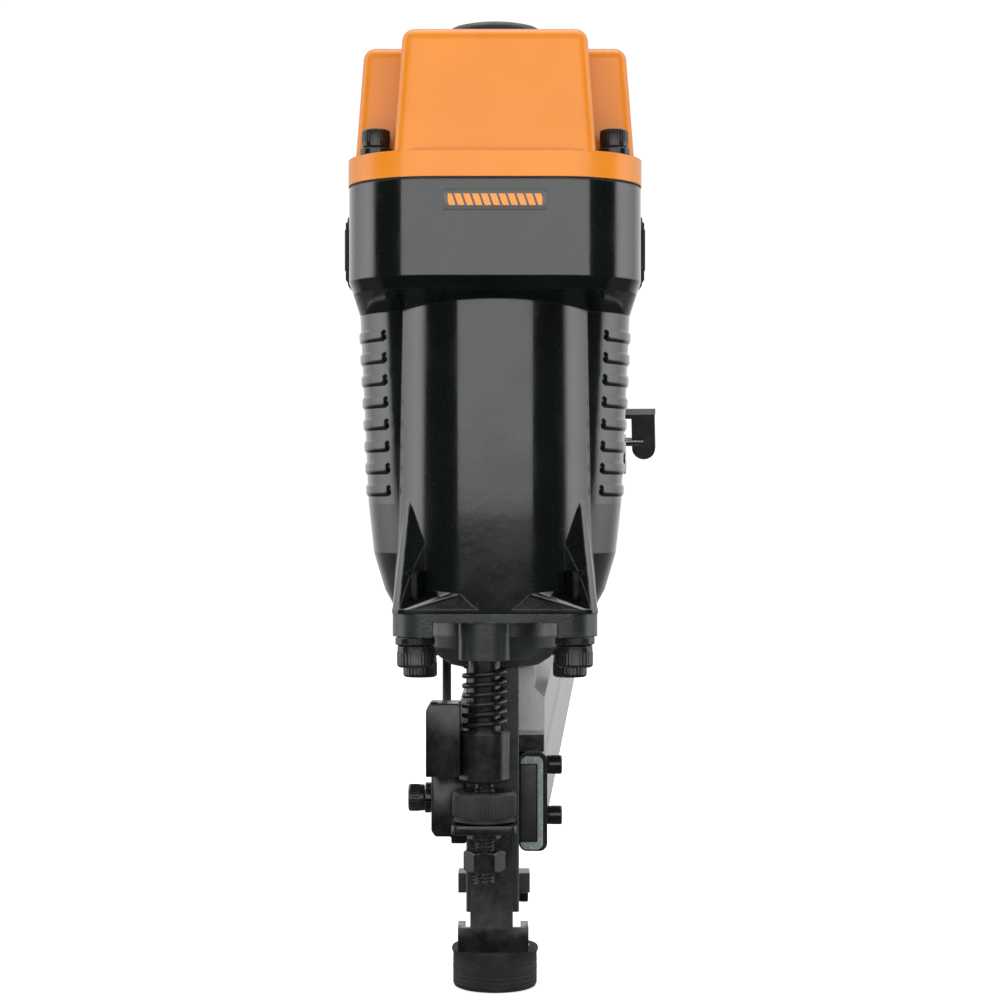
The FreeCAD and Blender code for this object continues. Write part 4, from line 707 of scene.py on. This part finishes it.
def make_grip_ribs():
    """Rounded ribs moulded round both flanks of the housing, blunt at their front ends."""
    count, top_level, bottom_level = 8, 239.8 * MM, 183.1 * MM
    rib_tall, raised = 5.6 * MM, 0.75 * MM
    start, stop = math.radians(57), math.radians(126)
    axis_y = 13.5 * MM
    parts = []
    for side in (-1, 1):
        for number in range(count):
            level = top_level + (bottom_level - top_level) * number / (count - 1)
            strip = bmesh.new()
            bmesh.ops.create_grid(strip, x_segments=44, y_segments=10, size=0.5)
            for vertex in strip.verts:
                along, across = vertex.co.x + 0.5, vertex.co.y
                angle = start + (stop - start) * along
                height = level + across * rib_tall * 1.15
                away = Vector((side * math.sin(angle), -math.cos(angle), 0))
                outside = Vector((0, axis_y, height)) + away * 0.12
                spot, facing = lying_on("main_housing", *outside, -away)
                end = min(along, 1 - along) * (stop - start) * 52 * MM
                inside = rib_tall / 2 - math.hypot(max(rib_tall / 2 - end, 0),
                                                   across * rib_tall * 1.15)
                lift = min(max(inside / (1.5 * MM), 0), 1)
                lift = lift * lift * (3 - 2 * lift)
                vertex.co = spot + facing * (raised * 1.25 * lift - 0.25 * raised)
            parts.append(strip)
    stand_in(together(parts), "main_housing", name="housing_grip_ribs", crease=80,
             outward=False)


def make_label():
    rounded_copy("label_plate", 0.25 * MM)


def make_deflector():
    low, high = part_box("exhaust_deflector")
    radius = (high.x - low.x) / 2
    tall = high.z - low.z
    recess, recess_deep = 6.5 * MM, 3.0 * MM
    cover = lathe([
        (0, 0), (radius - 1.2 * MM, 0), (radius - 0.2 * MM, 0.8 * MM), (radius, 1.8 * MM),
        (radius, tall - 3.2 * MM), (radius - 0.5 * MM, tall - 2.0 * MM),
        (radius - 1.8 * MM, tall - 1.0 * MM), (radius - 4.5 * MM, tall - 0.3 * MM),
        (recess + 2.2 * MM, tall), (recess + 0.6 * MM, tall), (recess, tall - 0.5 * MM),
        (recess, tall - recess_deep), (0, tall - recess_deep),
    ], 96)

    def louvred(angle, out, height):
        on_wall = out > radius - 0.3 * MM and 1.0 * MM < height < tall - 2.5 * MM
        slot = math.sin(angle * 24) > 0.1 and math.cos(angle + TURN / 4) > 0.2
        return out - 0.5 * MM if on_wall and slot else out

    replace(moved(reshape(cover, louvred), pointing(0, 0, low.z)), "exhaust_deflector")
    screw = socket_head(5.0 * MM, 2.6 * MM, 2.0 * MM, 1.8 * MM, 32)
    seat = moved(screw, pointing(0, 0, high.z - recess_deep))
    stand_in(seat, "exhaust_deflector", name="deflector_socket_head", finish="black_steel")


# ---------------------------------------------------------------- handle

def make_grip():
    low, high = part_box("handle_grip")
    wide, tall = high.x - low.x, high.z - low.z
    middle = centre_of("handle_grip")
    sleeve = bmesh.new()
    bmesh.ops.create_grid(sleeve, x_segments=1, y_segments=1, size=0.5)
    bmesh.ops.scale(sleeve, vec=(wide, tall, 1), verts=sleeve.verts)
    bmesh.ops.bevel(sleeve, geom=sleeve.verts[:], offset=15.5 * MM, offset_type="OFFSET",
                    segments=9, profile=0.5, affect="VERTICES", clamp_overlap=True, material=-1)
    upright = Matrix.Translation((middle.x, low.y, middle.z)) @ Matrix.Rotation(
        TURN / 4, 4, "X")
    bmesh.ops.transform(sleeve, matrix=upright, verts=sleeve.verts)
    face = sleeve.faces[:][0]
    ring_pitch, plain = 4.4 * MM, 9 * MM
    rings = int((high.y - low.y - 2 * plain) / ring_pitch)
    steps = [(0.6 * MM, 1.0), (plain - 0.6 * MM, 1.0)]
    for _ in range(rings):
        steps += [(0.5 * MM, 0.955), (0.9 * MM, 0.955), (0.5 * MM, 1.0),
                  (ring_pitch - 1.9 * MM, 1.0)]
    steps.append((high.y - low.y - sum(length for length, _ in steps), 1.0))
    size = 1.0
    for length, scale in steps:
        grown = bmesh.ops.extrude_face_region(sleeve, geom=[face])["geom"]
        corners = [v for v in grown if isinstance(v, bmesh.types.BMVert)]
        sleeve.faces.remove(face)
        face = next(f for f in grown if isinstance(f, bmesh.types.BMFace))
        bmesh.ops.translate(sleeve, vec=(0, length, 0), verts=corners)
        about = Matrix.Translation(Vector((middle.x, corners[0].co.y, middle.z)))
        bmesh.ops.scale(sleeve, vec=(scale / size, 1, scale / size), space=about.inverted(),
                        verts=corners)
        size = scale
    bmesh.ops.holes_fill(sleeve, edges=[e for e in sleeve.edges if e.is_boundary], sides=0)
    replace(sleeve, "handle_grip", crease=35)


# ---------------------------------------------------------------- build every piece

make_nose_pad()
make_depth_wheel()
make_lock_nut_and_washer()
make_safety_rod()
make_safety_spring()
make_screws()
make_side_pads()
make_grip_ribs()
make_label()
make_deflector()
make_grip()
for name, edge in {"contact_foot": 0.45, "nose_latch_block": 0.6, "safety_link": 0.5,
                   "trigger": 1.3, "trip_lever": 0.2, "rear_bracket": 0.5,
                   "front_band": 0.35, "front_insert": 0.3, "air_plug": 0.35}.items():
    rounded_copy(name, edge * MM)


# ---------------------------------------------------------------- floor, light and camera

def make_floor():
    bm = bmesh.new()
    bmesh.ops.create_grid(bm, x_segments=1, y_segments=1, size=6.0)
    mesh = bpy.data.meshes.new("studio_floor")
    bm.to_mesh(mesh)
    bm.free()
    ground = Finish("studio_floor")
    shade = ground.tint(ground.mottle(0.6), (0.90, 0.90, 0.90), (0.94, 0.94, 0.94))
    mesh.materials.append(ground.done(Base_Color=shade, Roughness=0.9,
                                      Emission_Color=(1.0, 1.0, 1.0), Emission_Strength=0.62))
    floor = bpy.data.objects.new("studio_floor", mesh)
    floor.visible_glossy = False
    scene.collection.objects.link(floor)


def make_softbox(name, place, aim, width, height, power):
    data = bpy.data.lights.new(name, "AREA")
    data.shape = "RECTANGLE"
    data.size, data.size_y = width, height
    data.energy = power
    light = bpy.data.objects.new(name, data)
    light.location = place
    light.rotation_euler = (Vector(aim) - Vector(place)).to_track_quat("-Z", "Y").to_euler()
    light.visible_camera = False
    scene.collection.objects.link(light)


def make_room():
    """White to the eye and even in diffuse light; in the gloss, bright behind and dark in front."""
    seen_by_eye, diffuse_light = 1.05, 0.52
    world = bpy.data.worlds.new("studio")
    world.use_nodes = True
    tree = world.node_tree
    tree.nodes.clear()

    def add(kind, **settings):
        made = tree.nodes.new(kind)
        for key, value in settings.items():
            setattr(made, key, value)
        return made

    direction = add("ShaderNodeTexCoord").outputs["Generated"]
    apart = add("ShaderNodeSeparateXYZ")
    tree.links.new(direction, apart.inputs[0])
    behind = add("ShaderNodeMapRange")
    tree.links.new(apart.outputs["Y"], behind.inputs["Value"])
    beyond = add("ShaderNodeMapRange")
    tree.links.new(apart.outputs["Y"], beyond.inputs["Value"])
    above = add("ShaderNodeMapRange")
    tree.links.new(apart.outputs["Z"], above.inputs["Value"])
    for node, start, stop, dark, bright in ((behind, -0.13, 0.0, 0.012, 1.0),
                                            (beyond, 0.15, 0.6, 2.5, 0.9),
                                            (above, -0.30, -0.02, 0.06, 1.0)):
        node.inputs["From Min"].default_value = start
        node.inputs["From Max"].default_value = stop
        node.inputs["To Min"].default_value = dark
        node.inputs["To Max"].default_value = bright
    rim = add("ShaderNodeMath", operation="MULTIPLY")
    tree.links.new(behind.outputs["Result"], rim.inputs[0])
    tree.links.new(beyond.outputs["Result"], rim.inputs[1])
    reflected = add("ShaderNodeMath", operation="MULTIPLY")
    tree.links.new(rim.outputs["Value"], reflected.inputs[0])
    tree.links.new(above.outputs["Result"], reflected.inputs[1])
    path = add("ShaderNodeLightPath")
    glossy = add("ShaderNodeMix", data_type="FLOAT")
    tree.links.new(path.outputs["Is Glossy Ray"], glossy.inputs[0])
    glossy.inputs[2].default_value = diffuse_light
    tree.links.new(reflected.outputs["Value"], glossy.inputs[3])
    seen = add("ShaderNodeMix", data_type="FLOAT")
    tree.links.new(path.outputs["Is Camera Ray"], seen.inputs[0])
    tree.links.new(glossy.outputs[0], seen.inputs[2])
    seen.inputs[3].default_value = seen_by_eye
    background = add("ShaderNodeBackground")
    background.inputs["Color"].default_value = (1, 1, 1, 1)
    tree.links.new(seen.outputs[0], background.inputs["Strength"])
    tree.links.new(background.outputs[0], add("ShaderNodeOutputWorld").inputs["Surface"])
    scene.world = world


def make_camera():
    lens_length, shift, distance, eye_level = 82.71, 0.005, 0.85, 0.1776
    data = bpy.data.cameras.new("camera")
    data.sensor_width = 36
    data.lens = lens_length
    data.shift_x, data.shift_y = shift, shift
    data.clip_start, data.clip_end = 0.05, 60
    camera = bpy.data.objects.new("camera", data)
    camera.location = (0, -distance, eye_level)
    camera.rotation_euler = (TURN / 4, 0, 0)
    scene.collection.objects.link(camera)
    scene.camera = camera


make_floor()
make_room()
make_softbox("front_softbox", (0.03, -2.3, 0.74), (0.03, 0, 0.74), 4.2, 1.15, 36)
make_softbox("top_softbox", (0, 0.1, 1.9), (0, 0.1, 0), 1.6, 1.6, 14)
make_camera()
scene.view_settings.view_transform = "Standard"
